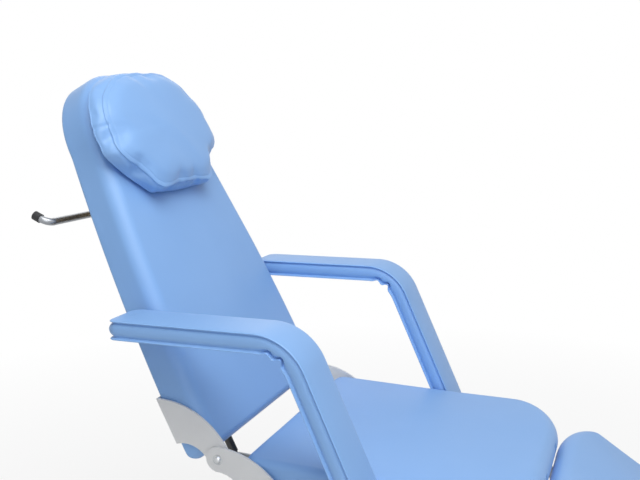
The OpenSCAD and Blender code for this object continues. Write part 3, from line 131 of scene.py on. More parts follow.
# Painted cast iron: black enamel over a sanded casting, so a slow sheen with sand dimples below.
# The dimples are 2.4 mm across, the cloudy patches of the paint about 110 mm.
cast_iron, tree, shader, place = new_finish("painted_cast_iron", roughness=0.42, coat_weight=0.25)
dimples = add_node(tree, "ShaderNodeTexNoise", {"Scale": 420.0, "Detail": 3.0}, {"Vector": place})
clouds = add_node(tree, "ShaderNodeTexNoise", {"Scale": 9.0, "Detail": 4.0}, {"Vector": place})
tint(tree, shader, clouds.outputs["Fac"], [(0.3, "#1c1d1f"), (0.75, "#292a2c")])
gloss(tree, shader, clouds.outputs["Fac"], 0.36, 0.52)
relief(tree, shader, dimples.outputs["Fac"], 0.0004, 0.5)
dress(cast_iron, "base_plate", "pump_block")


# Rubber rim of the base and tread of the pedal
# Extruded and moulded black rubber with a matt, faintly dusty skin.
# The skin's grain is 1.1 mm, drawn coarser than the real one, and the dust lies in 40 mm patches.
moulded_rubber, tree, shader, place = new_finish("moulded_rubber", roughness=0.8, ior=1.5)
skin = add_node(tree, "ShaderNodeTexNoise", {"Scale": 900.0, "Detail": 2.0}, {"Vector": place})
dust = add_node(tree, "ShaderNodeTexNoise", {"Scale": 26.0, "Detail": 6.0}, {"Vector": place})
tint(tree, shader, dust.outputs["Fac"], [(0.35, "#1b1b1c"), (0.8, "#2b2b2c")])
gloss(tree, shader, dust.outputs["Fac"], 0.68, 0.9)
relief(tree, shader, skin.outputs["Fac"], 0.00012)
dress(moulded_rubber, "base_trim", "pedal_pad")


# Bolts, screws, pins, nuts and the release lever
# Turned and cold-headed steel with bright zinc plating, which is slightly cloudy and bluish.
# The bloom of the plating is 7 mm across, the marks of the turning 0.6 mm.
zinc_plate, tree, shader, place = new_finish("bright_zinc_plate", metallic=1.0, roughness=0.34)
bloom = add_node(tree, "ShaderNodeTexNoise", {"Scale": 140.0, "Detail": 5.0}, {"Vector": place})
turned = add_node(tree, "ShaderNodeTexNoise", {"Scale": 1600.0, "Detail": 2.0}, {"Vector": place})
tint(tree, shader, bloom.outputs["Fac"], [(0.3, "#a9adb2"), (0.55, "#c3c6c9"), (0.8, "#d2d2cd")])
gloss(tree, shader, bloom.outputs["Fac"], 0.26, 0.44)
relief(tree, shader, turned.outputs["Fac"], 0.00003)
dress(
    zinc_plate, "base_bolts", "pedal_pin", "hub_nut", "hub_bolts", "seat_screws", "pivot_bolts",
    "strut_pin", "leg_hinge_pins", "back_screws", "leg_screws", "release_lever",
)


# Column tube and strut rod
# Ground steel with hard chrome plating, polished, and oiled where it slides.
# The haze of the oil comes in smears of 17 mm.
hard_chrome, tree, shader, place = new_finish("polished_hard_chrome", metallic=1.0, roughness=0.08)
haze = add_node(tree, "ShaderNodeTexNoise", {"Scale": 60.0, "Detail": 4.0}, {"Vector": place})
tint(tree, shader, haze.outputs["Fac"], [(0.3, "#cfd2d6"), (0.7, "#e2e4e6")])
gloss(tree, shader, haze.outputs["Fac"], 0.05, 0.14)
dress(hard_chrome, "lift_column", "strut_rod")


# Guide bush and thrust washer
# Sintered bronze, oil filled: fine dark pores in a warm matt metal.
# The pores are drawn 0.45 mm across, several times the real ones, so that they show.
sintered_bronze, tree, shader, place = new_finish("sintered_bronze", metallic=1.0, roughness=0.45)
pores = add_node(tree, "ShaderNodeTexNoise", {"Scale": 2200.0, "Detail": 2.0}, {"Vector": place})
tint(tree, shader, pores.outputs["Fac"], [(0.38, "#5e4526"), (0.5, "#a87d45"), (0.7, "#b98c52")])
relief(tree, shader, pores.outputs["Fac"], 0.00005)
dress(sintered_bronze, "guide_bush", "thrust_washer")


# Seat frame, hub, brackets and legrest arms
# Welded steel tube and plate in a light grey powder coat with a little orange peel.
# The peel's bumps are 1.9 mm across.
frame_coat, tree, shader, place = new_finish("light_powder_coat", roughness=0.4, coat_weight=0.1)
peel = add_node(tree, "ShaderNodeTexNoise", {"Scale": 520.0, "Detail": 1.0}, {"Vector": place})
batch = add_node(tree, "ShaderNodeTexNoise", {"Scale": 6.0, "Detail": 3.0}, {"Vector": place})
tint(tree, shader, batch.outputs["Fac"], [(0.3, "#bcbfc1"), (0.7, "#c8cacb")])
gloss(tree, shader, batch.outputs["Fac"], 0.34, 0.46)
relief(tree, shader, peel.outputs["Fac"], 0.00025, 0.35)
dress(
    frame_coat, "swivel_hub", "seat_rail_left", "seat_rail_right", "cross_tube_front",
    "cross_tube_rear", "strut_fork", "armrest_bracket_left", "armrest_bracket_right",
    "leg_hinge_lugs", "leg_rail_left", "leg_rail_right",
)


# Pump cylinder, pedal, backrest frame, strut ears and strut body
# Steel in black paint, baked on: satin, with pale rub marks of some 26 mm.
# The paint's own peel is finer than on the grey frame, 1.7 mm.
black_coat, tree, shader, place = new_finish("baked_black_paint", roughness=0.38, coat_weight=0.2)
rubs = add_node(tree, "ShaderNodeTexNoise", {"Scale": 38.0, "Detail": 8.0}, {"Vector": place})
peel = add_node(tree, "ShaderNodeTexNoise", {"Scale": 600.0, "Detail": 1.0}, {"Vector": place})
tint(tree, shader, rubs.outputs["Fac"], [(0.3, "#151617"), (0.62, "#1d1e20"), (0.85, "#2e3032")])
gloss(tree, shader, rubs.outputs["Fac"], 0.3, 0.5)
relief(tree, shader, peel.outputs["Fac"], 0.0002, 0.35)
dress(
    black_coat, "pump_cylinder", "pedal_arm", "back_rail_left", "back_rail_right",
    "back_cross_tube", "strut_ears", "strut_cylinder",
)


# Hinge plates of the backrest and the seat
# Laser-cut steel plate in a pale grey powder coat, bolted to seat frame and backrest rails.
# The peel's bumps are 1.8 mm across.
plate_coat, tree, shader, place = new_finish("grey_powder_coat", roughness=0.45, coat_weight=0.08)
peel = add_node(tree, "ShaderNodeTexNoise", {"Scale": 560.0, "Detail": 1.0}, {"Vector": place})
batch = add_node(tree, "ShaderNodeTexNoise", {"Scale": 7.0, "Detail": 3.0}, {"Vector": place})
tint(tree, shader, batch.outputs["Fac"], [(0.3, "#dcddde"), (0.7, "#e3e4e4")])
gloss(tree, shader, batch.outputs["Fac"], 0.4, 0.5)
relief(tree, shader, peel.outputs["Fac"], 0.00025, 0.35)
dress(
    plate_coat, "seat_hinge_plate_left", "seat_hinge_plate_right", "back_hinge_plate_left",
    "back_hinge_plate_right",
)


# Paper roll rod
# Bent round bar, nickel plated and brushed dull, screwed behind the board by its flange.
# The brush marks run along it, 0.9 mm apart and 17 mm long, and the stains are 14 mm across.
dull_nickel, tree, shader, place = new_finish("dull_nickel_plate", metallic=1.0, roughness=0.38)
stains = add_node(tree, "ShaderNodeTexNoise", {"Scale": 70.0, "Detail": 4.0}, {"Vector": place})
strokes = add_node(tree, "ShaderNodeMapping", {"Scale": (60.0, 1100.0, 1100.0)}, {"Vector": place})
brushed = add_node(
    tree, "ShaderNodeTexNoise", {"Scale": 1.0, "Detail": 2.0}, {"Vector": strokes.outputs[0]}
)
tint(tree, shader, stains.outputs["Fac"], [(0.3, "#92969c"), (0.7, "#a3a6aa")])
gloss(tree, shader, stains.outputs["Fac"], 0.3, 0.44)
relief(tree, shader, brushed.outputs["Fac"], 0.00003)
dress(dull_nickel, "paper_roll_rod")


# Bars inside the armrests
# Bent aluminium bar, as drawn: lengthwise die lines 1.1 mm apart under a clear matt anodising.
anodised, tree, shader, place = new_finish("anodised_aluminium", metallic=1.0, roughness=0.36)
drawn = add_node(tree, "ShaderNodeMapping", {"Scale": (900.0, 900.0, 12.0)}, {"Vector": place})
lines = add_node(
    tree, "ShaderNodeTexNoise", {"Scale": 1.0, "Detail": 2.0}, {"Vector": drawn.outputs[0]}
)
tint(tree, shader, lines.outputs["Fac"], [(0.3, "#b5b8ba"), (0.7, "#c9cbcc")])
relief(tree, shader, lines.outputs["Fac"], 0.00004)
dress(anodised, "armrest_tube_left", "armrest_tube_right")


# Washers of the backrest's pivots
# Turned natural nylon: milky, slightly waxy, a little translucent.
# The flow of the melt leaves streaks of 8 mm.
nylon, tree, shader, place = new_finish(
    "natural_nylon", roughness=0.4, ior=1.53, subsurface_weight=0.15
)
flow = add_node(tree, "ShaderNodeTexNoise", {"Scale": 120.0, "Detail": 3.0}, {"Vector": place})
tint(tree, shader, flow.outputs["Fac"], [(0.3, "#ddd9cd"), (0.7, "#e9e6dc")])
dress(nylon, "pivot_washers")


# Clamp knobs, lever grip and the cap of the roll rod
# Moulded black plastic with a spark-eroded grain of 0.8 mm, and wear in 18 mm patches.
moulded_plastic, tree, shader, place = new_finish("moulded_black_plastic", roughness=0.5, ior=1.49)
grain = add_node(tree, "ShaderNodeTexVoronoi", {"Scale": 1300.0}, {"Vector": place})
wear = add_node(tree, "ShaderNodeTexNoise", {"Scale": 55.0, "Detail": 5.0}, {"Vector": place})
tint(tree, shader, wear.outputs["Fac"], [(0.3, "#17181a"), (0.75, "#242527")])
gloss(tree, shader, wear.outputs["Fac"], 0.4, 0.58)
relief(tree, shader, grain.outputs["Distance"], 0.0001, 0.6)
dress(moulded_plastic, "clamp_knob_left", "clamp_knob_right", "lever_grip", "rod_end_cap")


# Boards of the seat, backrest and legrest
# Birch plywood, 12 mm in nine plies: pale grain on the faces, striped edges.
# The grain's lines are 6 mm wide and 110 mm long.
BACK_TURN, LEG_TURN = 63, 30    # how far backrest and legrest are turned up and down, degrees
ply = 0.0013
board_tilts = {"seat_board": 0, "back_board": BACK_TURN, "leg_board": LEG_TURN}
for board_name, tilt in board_tilts.items():
    birch, tree, shader, place = new_finish(f"birch_plywood_{board_name}", roughness=0.6)
    level = add_node(
        tree, "ShaderNodeMapping",
        {"vector_type": "TEXTURE", "Rotation": (math.radians(tilt), 0.0, 0.0)}, {"Vector": place},
    )
    along = add_node(
        tree, "ShaderNodeMapping", {"Scale": (160.0, 9.0, 1 / ply)}, {"Vector": level.outputs[0]}
    )
    grain = add_node(
        tree, "ShaderNodeTexNoise", {"Scale": 1.0, "Detail": 5.0, "Distortion": 0.6},
        {"Vector": along.outputs[0]},
    )
    split = add_node(tree, "ShaderNodeSeparateXYZ", {}, {"Vector": level.outputs[0]})
    stripe = add_node(
        tree, "ShaderNodeMath", {"operation": "PINGPONG", 1: ply}, {0: split.outputs["Z"]}
    )
    share = add_node(
        tree, "ShaderNodeMath", {"operation": "MULTIPLY", 1: 0.35 / ply}, {0: stripe.outputs[0]}
    )
    both = add_node(
        tree, "ShaderNodeMath", {"operation": "MULTIPLY_ADD", 1: 0.65},
        {0: grain.outputs["Fac"], 2: share.outputs[0]},
    )
    tint(tree, shader, both.outputs[0], [(0.2, "#b8925f"), (0.45, "#d2b080"), (0.7, "#e0c498")])
    relief(tree, shader, grain.outputs["Fac"], 0.0001, 0.5)
    dress(birch, board_name)


# Strips between pillow and backrest
# Black hook-and-loop tape: a dense mat of nylon loops 1.1 mm across, quite matt.
loop_tape, tree, shader, place = new_finish("hook_and_loop_tape", roughness=0.95, sheen_weight=0.4)
loops = add_node(tree, "ShaderNodeTexVoronoi", {"Scale": 900.0}, {"Vector": place})
tint(tree, shader, loops.outputs["Distance"], [(0.1, "#2c2d31"), (0.6, "#121316")])
relief(tree, shader, loops.outputs["Distance"], 0.0004)
dress(loop_tape, "pillow_strips")


# Covers: the faux leather that all the pads wear
# Soft PVC on a knitted back, light blue, calendered with a fine pebble grain, satin.
# The real pebbles are about 0.8 mm; here they are 1.4 mm so that a close view shows them.
blue_vinyl, tree, shader, place = new_finish(
    "blue_faux_leather", roughness=0.46, ior=1.5, sheen_weight=0.08, sheen_roughness=0.4
)
pebbles = add_node(
    tree, "ShaderNodeTexVoronoi", {"feature": "SMOOTH_F1", "Scale": 720.0, "Smoothness": 0.5},
    {"Vector": place},
)
creases = add_node(
    tree, "ShaderNodeTexNoise", {"Scale": 260.0, "Detail": 4.0, "Distortion": 0.4},
    {"Vector": place},
)
batch = add_node(tree, "ShaderNodeTexNoise", {"Scale": 3.5, "Detail": 3.0}, {"Vector": place})
tint(tree, shader, batch.outputs["Fac"], [(0.3, "#84b0e6"), (0.7, "#8ab5ea")])
gloss(tree, shader, creases.outputs["Fac"], 0.4, 0.54)
surface = add_node(
    tree, "ShaderNodeMath", {"operation": "MULTIPLY_ADD", 1: 0.4},
    {0: creases.outputs["Fac"], 2: pebbles.outputs["Distance"]},
)
relief(tree, shader, surface.outputs[0], 0.00022, 0.3)


# Seat pad
# Foam on the seat board under one stretched cover, with a full rolled front edge.
# The cover is pulled over the board's edge and stapled below; two slots pass the hinge arms.
def arc(centre, radii, start, end, steps):
    """Points of an elliptical arc, in the plane of a pad's outline."""
    angles = np.radians(np.linspace(start, end, steps + 1))
    (x, y), (w, d) = centre, radii
    return [(x + w * math.cos(a), y + d * math.sin(a)) for a in angles]


def evened(half, count):
    """Closes a half outline by its mirror image and spaces count points evenly along it."""
    whole = np.array(half + [(-x, y) for x, y in reversed(half)])
    closed = np.vstack([whole, whole[:1]])
    run = np.concatenate([[0.0], np.cumsum(np.linalg.norm(np.diff(closed, axis=0), axis=1))])
    places = np.linspace(0.0, run[-1], count + 1)[:-1]
    return np.column_stack([np.interp(places, run, closed[:, i]) for i in (0, 1)])


def inward(outline):
    """Unit normals of an outline, pointing into it."""
    t = np.roll(outline, -1, axis=0) - np.roll(outline, 1, axis=0)
    return np.column_stack([-t[:, 1], t[:, 0]]) / np.linalg.norm(t, axis=1)[:, None]


def closed_skin(name, rings):
    """One closed mesh over rings with equal numbers of points. The two ends are shut by strips
    that join each point to its mirror image."""
    count = len(rings[0])
    faces = []
    for j in range(len(rings) - 1):
        a = j * count
        faces += [
            (a + i, a + (i + 1) % count, a + count + (i + 1) % count, a + count + i)
            for i in range(count)
        ]
    top = (len(rings) - 1) * count
    for i in range(count // 2 - 1):
        faces.append((count - 1 - i, count - 2 - i, i + 1, i))
        faces.append((top + i, top + i + 1, top + count - 2 - i, top + count - 1 - i))
    mesh = bpy.data.meshes.new(name)
    mesh.from_pydata(np.vstack(rings).tolist(), [], faces)
    piece = bpy.data.objects.new(name, mesh)
    bpy.context.scene.collection.objects.link(piece)
    return piece


def apply_modifier(piece, kind, **settings):
    """Adds a modifier to a piece and applies it at once."""
    bpy.ops.object.select_all(action="DESELECT")
    piece.select_set(True)
    bpy.context.view_layer.objects.active = piece
    modifier = piece.modifiers.new(kind.lower(), kind)
    for key, value in settings.items():
        setattr(modifier, key, value)
    bpy.ops.object.modifier_apply(modifier=modifier.name)


def points_of(piece):
    """The vertices of a piece as an array of rows."""
    flat = np.zeros(len(piece.data.vertices) * 3)
    piece.data.vertices.foreach_get("co", flat)
    return flat.reshape(-1, 3)


def set_points(piece, points):
    """Puts moved vertices back into a piece."""
    piece.data.vertices.foreach_set("co", np.asarray(points, float).ravel())
    piece.data.update()


def finish_cover(piece, node, body):
    """Smooth shading, the vinyl, and the calls that tie a padded cover to the frame."""
    piece.data.materials.append(blue_vinyl)
    piece.data.polygons.foreach_set("use_smooth", [True] * len(piece.data.polygons))
    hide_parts(node)
    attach(piece, body)


def waves(points, scale, depth, seed):
    """A slow random height for each point, the way foam and stretched vinyl are never dead flat."""
    offset = Vector((seed * 7.3, seed * 1.7, seed * 3.1))
    return np.array([depth * noise.noise(Vector(p) * scale + offset) for p in points])


PAD_T = 0.073           # thickness of the seat, backrest and legrest pads
BOARD_INSET = 0.0049    # the cover's inner wall lies against the edge of the board
LIP = 0.0113            # how far the cover comes down over the board's edge
SEAT_HALF = 0.278
LOW_R, SIDE_R = 0.005, 0.016    # roundings of a pad's lower and upper edge along its sides


def pad_cover(name, outline, foot_r, edge_r, wrap, crown, seed):
    """A stuffed cover on a board, level, from its underside up. foot_r and edge_r are the lower
    and upper roundings at each point; wrap is 1 where the cover goes down over the board."""
    into = inward(outline)
    middle = np.array([0.0, (outline[:, 1].min() + outline[:, 1].max()) / 2])

    def ring(inset, height):
        moved = outline + into * np.broadcast_to(inset, len(outline))[:, None]
        return np.column_stack([moved, np.broadcast_to(height, len(outline))])

    def shrunk(base, share, height):
        flat = middle + (base[:, :2] - middle) * share
        return np.column_stack([flat, np.broadcast_to(height, len(outline))])

    start = (1 - wrap) * foot_r + wrap * BOARD_INSET
    under = ring(start, 0.0)
    rings = [shrunk(under, share, 0.0) for share in (0.05, 0.3, 0.6, 0.85, 0.96)]
    # the hem: down along the board's edge, round a soft fold and up the outside
    fold = [
        (BOARD_INSET, 0.0), (BOARD_INSET, -0.55 * LIP), (BOARD_INSET, -0.93 * LIP),
        (0.0041, -LIP), (0.0021, -LIP - 0.0003), (0.0006, -LIP + 0.0009), (0.0, -LIP + 0.003),
        (0.0, -0.4 * LIP), (0.0, 0.0),
    ]
    for step, (inset, height) in enumerate(fold):
        a = math.radians(90 * step / (len(fold) - 1))
        rings.append(ring(
            wrap * inset + (1 - wrap) * foot_r * (1 - math.sin(a)),
            wrap * height + (1 - wrap) * foot_r * (1 - math.cos(a)),
        ))
    low = (1 - wrap) * foot_r
    for share in (0.25, 0.5, 0.75):
        rings.append(ring(0.0, low + (PAD_T - edge_r - low) * share))
    for a in np.radians(np.linspace(0, 90, 9)):
        rings.append(ring(edge_r * (1 - math.cos(a)), PAD_T - edge_r * (1 - math.sin(a))))
    shoulder = ring(edge_r, PAD_T)
    for share in (0.96, 0.9, 0.82, 0.73, 0.63, 0.53, 0.43, 0.33, 0.23, 0.13, 0.05):
        rings.append(shrunk(shoulder, share, PAD_T + crown * (1 - share ** 2.6)))
    piece = closed_skin(name, rings)
    apply_modifier(piece, "SUBSURF", levels=1, render_levels=1)

    points = points_of(piece)
    # the top rises and falls a little, and the wall shows the pull of the staples
    top = np.clip((points[:, 2] - 0.7 * PAD_T) / (0.3 * PAD_T), 0, 1)
    points[:, 2] += top * waves(points, 7.0, 0.0012, seed)
    wall = np.clip(1 - abs(points[:, 2] - 0.012) / 0.03, 0, 1) * np.clip(points[:, 2] / 0.004, 0, 1)
    pull = waves(points * (1, 1, 0.25), 30.0, 0.0005, seed + 1) - 0.00025
    away = points[:, :2] - middle
    away /= np.linalg.norm(away, axis=1)[:, None] + 1e-9
    points[:, :2] += away * (wall * pull)[:, None]
    set_points(piece, points)
    return piece


def placed(piece, turn_degrees, origin, flipped=False):
    """Turns a level piece about X and moves it to its place, in its mesh."""
    if flipped:
        piece.data.transform(Matrix.Scale(-1, 4, (0, 1, 0)))
        piece.data.flip_normals()
    turn = Matrix.Rotation(math.radians(turn_degrees), 4, "X")
    piece.data.transform(Matrix.Translation(origin) @ turn)


def facing_end(outline):
    """1 where an outline faces its lower end, 0 along the sides."""
    return np.clip(inward(outline)[:, 1], 0, 1) ** 2


def down_over_board(outline):
    """1 where a pad lies on its board, fading to 0 where its rolled end reaches past it."""
    return 1 - np.clip((facing_end(outline) - 0.2) / 0.3, 0, 1)


ROLL_R = 0.0355         # a roll: the pad's end is nearly a half circle
seat_front, seat_back, corner_w, corner_d, corner_r = -0.304, 0.280, 0.170, 0.120, 0.028
seat_low_z, seat_crown = 0.527, 0.007
tuck = 0.003            # the sides pull in by this much between the corners
corner_x, corner_y = SEAT_HALF - corner_w, seat_front + corner_d
rear_x, rear_y = SEAT_HALF - corner_r, seat_back - corner_r
seat_outline = evened(
    [(corner_x * t, seat_front) for t in (0.02, 0.5)]
    + arc((corner_x, corner_y), (corner_w, corner_d), -90, 0, 24)
    + [
        (SEAT_HALF - tuck * math.sin(math.pi * t), corner_y + (rear_y - corner_y) * t)
        for t in np.linspace(0.05, 0.95, 12)
    ]
    + arc((rear_x, rear_y), (corner_r, corner_r), 0, 90, 10)
    + [(rear_x * t, seat_back) for t in (0.6, 0.3, 0.02)],
    240,
)
seat_end = facing_end(seat_outline)
seat_pad = pad_cover(
    "seat_pad", seat_outline, LOW_R + (ROLL_R - LOW_R) * seat_end,
    SIDE_R + (ROLL_R - SIDE_R) * seat_end, down_over_board(seat_outline), seat_crown, 1,
)
placed(seat_pad, 0, (0, 0, seat_low_z))
# slots for the hinge arms of the legrest, cut from the underside
slot_x, slot_y, slot_z, slot_size = 0.07825, -0.268, 0.5465, (0.021, 0.084, 0.062)
for side in (-1, 1):
    bpy.ops.object.select_all(action="DESELECT")
    bpy.ops.mesh.primitive_cube_add(size=1, location=(side * slot_x, slot_y, slot_z))
    slot_tool = bpy.context.object
    slot_tool.dimensions = slot_size
    bpy.ops.object.transform_apply(location=True, rotation=True, scale=True)
    apply_modifier(slot_tool, "BEVEL", width=0.002, segments=3)
    apply_modifier(seat_pad, "BOOLEAN", object=slot_tool, operation="DIFFERENCE", solver="EXACT")
    bpy.data.objects.remove(slot_tool)
finish_cover(seat_pad, "seat_cushion", "seat")


# Backrest pad
# Foam on the backrest board, wide at the seat and narrowing to a round head end.
# The cover has a deep soft edge and is stapled behind the board.
BACK_PIVOT, PIVOT_DROP = Vector((0, 0.330, 0.592)), 0.008
back_setback, back_len, shoulder_v, shoulder_half = 0.023, 0.864, 0.690, 0.210
back_top_x = 0.045      # half of the straight part of the head end
back_corner_r, back_heel, heel_run, back_edge_r, back_crown = 0.020, 0.015, 0.120, 0.032, 0.004
back_low_x = SEAT_HALF - back_corner_r
back_outline = evened(
    [(back_low_x * t, 0.0) for t in (0.02, 0.3, 0.6)]
    + arc((back_low_x, back_corner_r), (back_corner_r, back_corner_r), -90, 0, 8)
    + [
        (SEAT_HALF - (SEAT_HALF - shoulder_half) * (v / shoulder_v) ** 2, v)
        for v in np.linspace(0.05, shoulder_v - 0.01, 24)
    ]
    + arc((back_top_x, shoulder_v), (shoulder_half - back_top_x, back_len - shoulder_v), 0, 90, 30)
    + [(back_top_x * t, back_len) for t in (0.5, 0.05)],
    260,
)
back_edge = SIDE_R + (back_edge_r - SIDE_R) * np.clip(back_outline[:, 1] / heel_run, 0, 1)
back_pad = pad_cover(
    "back_pad", back_outline, np.full(len(back_outline), LOW_R), back_edge,
    down_over_board(back_outline), back_crown, 2,
)
# the foam's lower end is cut at a slant and reaches lower at the board than at the face
heel_points = points_of(back_pad)
heel_points[:, 1] -= (
    back_heel * np.clip(1 - heel_points[:, 2] / PAD_T, 0, 1)
    * np.clip(1 - heel_points[:, 1] / heel_run, 0, 1)
)
set_points(back_pad, heel_points)
back_origin = BACK_PIVOT + Matrix.Rotation(math.radians(BACK_TURN), 3, "X") @ Vector(
    (0, back_setback, PIVOT_DROP - PAD_T)
)
placed(back_pad, BACK_TURN, back_origin)
finish_cover(back_pad, "back_cushion", "backrest")


# Legrest pad
# Made as the seat: foam on its own board, a rolled edge towards the seat, a rounded foot end.
leg_len, leg_foot_half, foot_r, leg_corner_w, leg_corner_d = 0.400, 0.250, 0.085, 0.150, 0.072
leg_corner_x = SEAT_HALF - leg_corner_w
leg_pivot, leg_start = Vector((0, -0.274, 0.5635)), 0.036
foot_x, foot_y = leg_foot_half - foot_r, leg_len - foot_r
leg_outline = evened(
    [(leg_corner_x * t, 0.0) for t in (0.02, 0.5)]
    + arc((leg_corner_x, leg_corner_d), (leg_corner_w, leg_corner_d), -90, 0, 24)
    + [
        (
            SEAT_HALF - (SEAT_HALF - leg_foot_half) * t - tuck * math.sin(math.pi * t),
            leg_corner_d + (foot_y - leg_corner_d) * t,
        )
        for t in np.linspace(0.05, 0.95, 10)
    ]
    + arc((foot_x, foot_y), (foot_r, foot_r), 0, 90, 16)
    + [(foot_x * t, leg_len) for t in (0.6, 0.3, 0.02)],
    220,
)
leg_end = facing_end(leg_outline)
leg_pad = pad_cover(
    "leg_pad", leg_outline, LOW_R + (ROLL_R - LOW_R) * leg_end,
    SIDE_R + (ROLL_R - SIDE_R) * leg_end, down_over_board(leg_outline), seat_crown, 3,
)
leg_turned = Matrix.Rotation(math.radians(LEG_TURN), 3, "X")
leg_origin = leg_pivot + leg_turned @ Vector((0, -leg_start, -PAD_T / 2))
placed(leg_pad, LEG_TURN, leg_origin, flipped=True)
finish_cover(leg_pad, "leg_cushion", "legrest")


# Headrest pillow
# A separate pillow held by hook-and-loop strips: a face panel, a sewn gusset and a back panel.
# The face seam is turned and stitched twice, and the filling puckers it softly.
pillow_v, pillow_len, pillow_half, pillow_foot = 0.553, 0.284, 0.216, 0.108
flare, pillow_corner, side_r, foot_end_r = 0.100, (0.152, 0.136), 0.050, 0.042
pillow_off = 0.022      # it lies a little off the middle, towards the right armrest
pillow_t, pillow_crown, pillow_low_w = 0.042, 0.024, 0.0144
PILLOW_POINTS = 360
slope = math.atan2(flare, pillow_half - pillow_foot)
foot_turn_x = pillow_foot - foot_end_r * math.tan(slope / 2)
side_y = flare + side_r * math.tan((math.pi / 2 - slope) / 2)
pillow_outline = evened(
    [(pillow_foot * t, 0.0) for t in (0.02, 0.35, 0.7)]
    + arc((foot_turn_x, foot_end_r), (foot_end_r, foot_end_r), -90, math.degrees(slope) - 90, 8)
    + [
        (pillow_foot + (pillow_half - pillow_foot) * t, flare * t)
        for t in np.linspace(0.25, 0.75, 6)
    ]
    + arc((pillow_half - side_r, side_y), (side_r, side_r), math.degrees(slope) - 90, 0, 10)
    + arc(
        (pillow_half - pillow_corner[0], pillow_len - pillow_corner[1]), pillow_corner, 0, 90, 24
    )
    + [((pillow_half - pillow_corner[0]) * t, pillow_len) for t in (0.6, 0.3, 0.02)],
    PILLOW_POINTS,
)
pillow_mid = np.array([0.0, pillow_len / 2])
pillow_in = inward(pillow_outline)
profile = [
    # back panel's edge, the lower seam, the gusset with its belly, the upper seam with its lip,
    # and the row of top stitching on the face: inset and height
    (0.0150, 0.0000), (0.0100, 0.0000), (0.0062, 0.0003), (0.0036, 0.0010), (0.0024, 0.0022),
    (0.0026, 0.0036), (0.0026, 0.0050), (0.0016, 0.0072), (0.0008, 0.0102), (0.0002, 0.0140),
    (0.0000, 0.0180), (0.0000, 0.0222), (0.0003, 0.0262), (0.0008, 0.0298), (0.0016, 0.0326),
    (0.0020, 0.0345), (0.0021, 0.0357), (0.0015, 0.0366), (0.0008, 0.0375), (0.0007, 0.0388),
    (0.0014, 0.0401), (0.0034, 0.0412), (0.0060, 0.0421), (0.0080, 0.0425), (0.0094, 0.0420),
    (0.0106, 0.0425), (0.0124, 0.0438), (0.0150, 0.0450),
]
under_shares, under_in = (0.05, 0.25, 0.45, 0.65, 0.83), 0.024
SEAM_RING = len(under_shares) + 18      # the ring of the upper seam's lip
SEAM_H, FACE_H = 0.0375, 0.040          # heights of that lip and of the face's own edge
face_in, face_rise = profile[-1]
pillow_rings = [
    np.column_stack([
        pillow_mid + (pillow_outline + pillow_in * under_in - pillow_mid) * share,
        np.zeros(PILLOW_POINTS),
    ])
    for share in under_shares
]
# the gusset leans out towards the face at the lower end, and in on the side by the right
# armrest, where the filling has moved off
tucked = 0.0075 * np.clip(1.15 - pillow_outline[:, 1] / 0.15, 0, 1)
lean_in = (
    0.020 * np.clip((-pillow_outline[:, 0] - 0.02) / 0.12, 0, 1)
    * np.clip((pillow_outline[:, 1] - 0.07) / 0.06, 0, 1)
)
for inset, height in profile:
    under = max(0.0, 1 - height / 0.030)
    moved_in = inset + tucked * under + lean_in * (height / face_rise)
    pillow_rings.append(np.column_stack([
        pillow_outline + pillow_in * moved_in[:, None],
        np.full(PILLOW_POINTS, height),
    ]))
face_edge = pillow_outline + pillow_in * (face_in + lean_in)[:, None]
for share in (0.96, 0.91, 0.85, 0.78, 0.70, 0.62, 0.53, 0.44, 0.35, 0.26, 0.17, 0.10, 0.04):
    pillow_rings.append(np.column_stack([
        pillow_mid + (face_edge - pillow_mid) * share,
        np.full(PILLOW_POINTS, face_rise + 0.013 * (1 - share ** 2.2)),
    ]))
pillow = closed_skin("pillow", pillow_rings)


def blown_up(piece, voxel, pressure, frames, cap, pinned, seam, shrink):
    """Runs the cloth simulation on a remeshed copy of a closed cover that is blown up from
    inside, and gives the movement of each of the cover's own points."""
    balloon = piece.copy()
    balloon.data = piece.data.copy()
    bpy.context.scene.collection.objects.link(balloon)
    apply_modifier(balloon, "REMESH", mode="VOXEL", voxel_size=voxel)
    rest = points_of(balloon)
    held = balloon.vertex_groups.new(name="held")
    held.add([int(i) for i in np.flatnonzero(pinned(rest))], 1.0, "REPLACE")
    sewn = balloon.vertex_groups.new(name="sewn")
    for i, weight in enumerate(seam(rest)):
        sewn.add([i], float(weight), "REPLACE")
    cloth = balloon.modifiers.new("cloth", "CLOTH")
    settings = cloth.settings
    settings.quality = 6
    settings.mass = 0.3
    settings.tension_stiffness = settings.compression_stiffness = 18
    settings.bending_stiffness = 0.4
    settings.use_pressure = True
    settings.uniform_pressure_force = pressure
    settings.effector_weights.gravity = 0
    settings.vertex_group_mass = "held"
    settings.vertex_group_shrink = "sewn"
    settings.shrink_min, settings.shrink_max = 0.0, shrink
    cloth.point_cache.frame_start, cloth.point_cache.frame_end = 1, frames
    for step in range(1, frames + 1):
        bpy.context.scene.frame_set(step)
    bpy.context.view_layer.objects.active = balloon
    bpy.ops.object.modifier_apply(modifier="cloth")
    moved = points_of(balloon) - rest
    length = np.linalg.norm(moved, axis=1)[:, None]
    moved *= np.minimum(1, cap / np.maximum(length, 1e-9))
    bpy.data.objects.remove(balloon)
    bpy.context.scene.frame_set(1)
    tree = KDTree(len(rest))
    for i, point in enumerate(rest):
        tree.insert(point, i)
    tree.balance()
    result = []
    for point in points_of(piece):
        found = tree.find_n(point, 36)
        weights = np.array([math.exp(-(distance / 1.8 / voxel) ** 2) for _, _, distance in found])
        result.append(weights @ moved[[i for _, i, _ in found]] / weights.sum())
    return np.array(result)


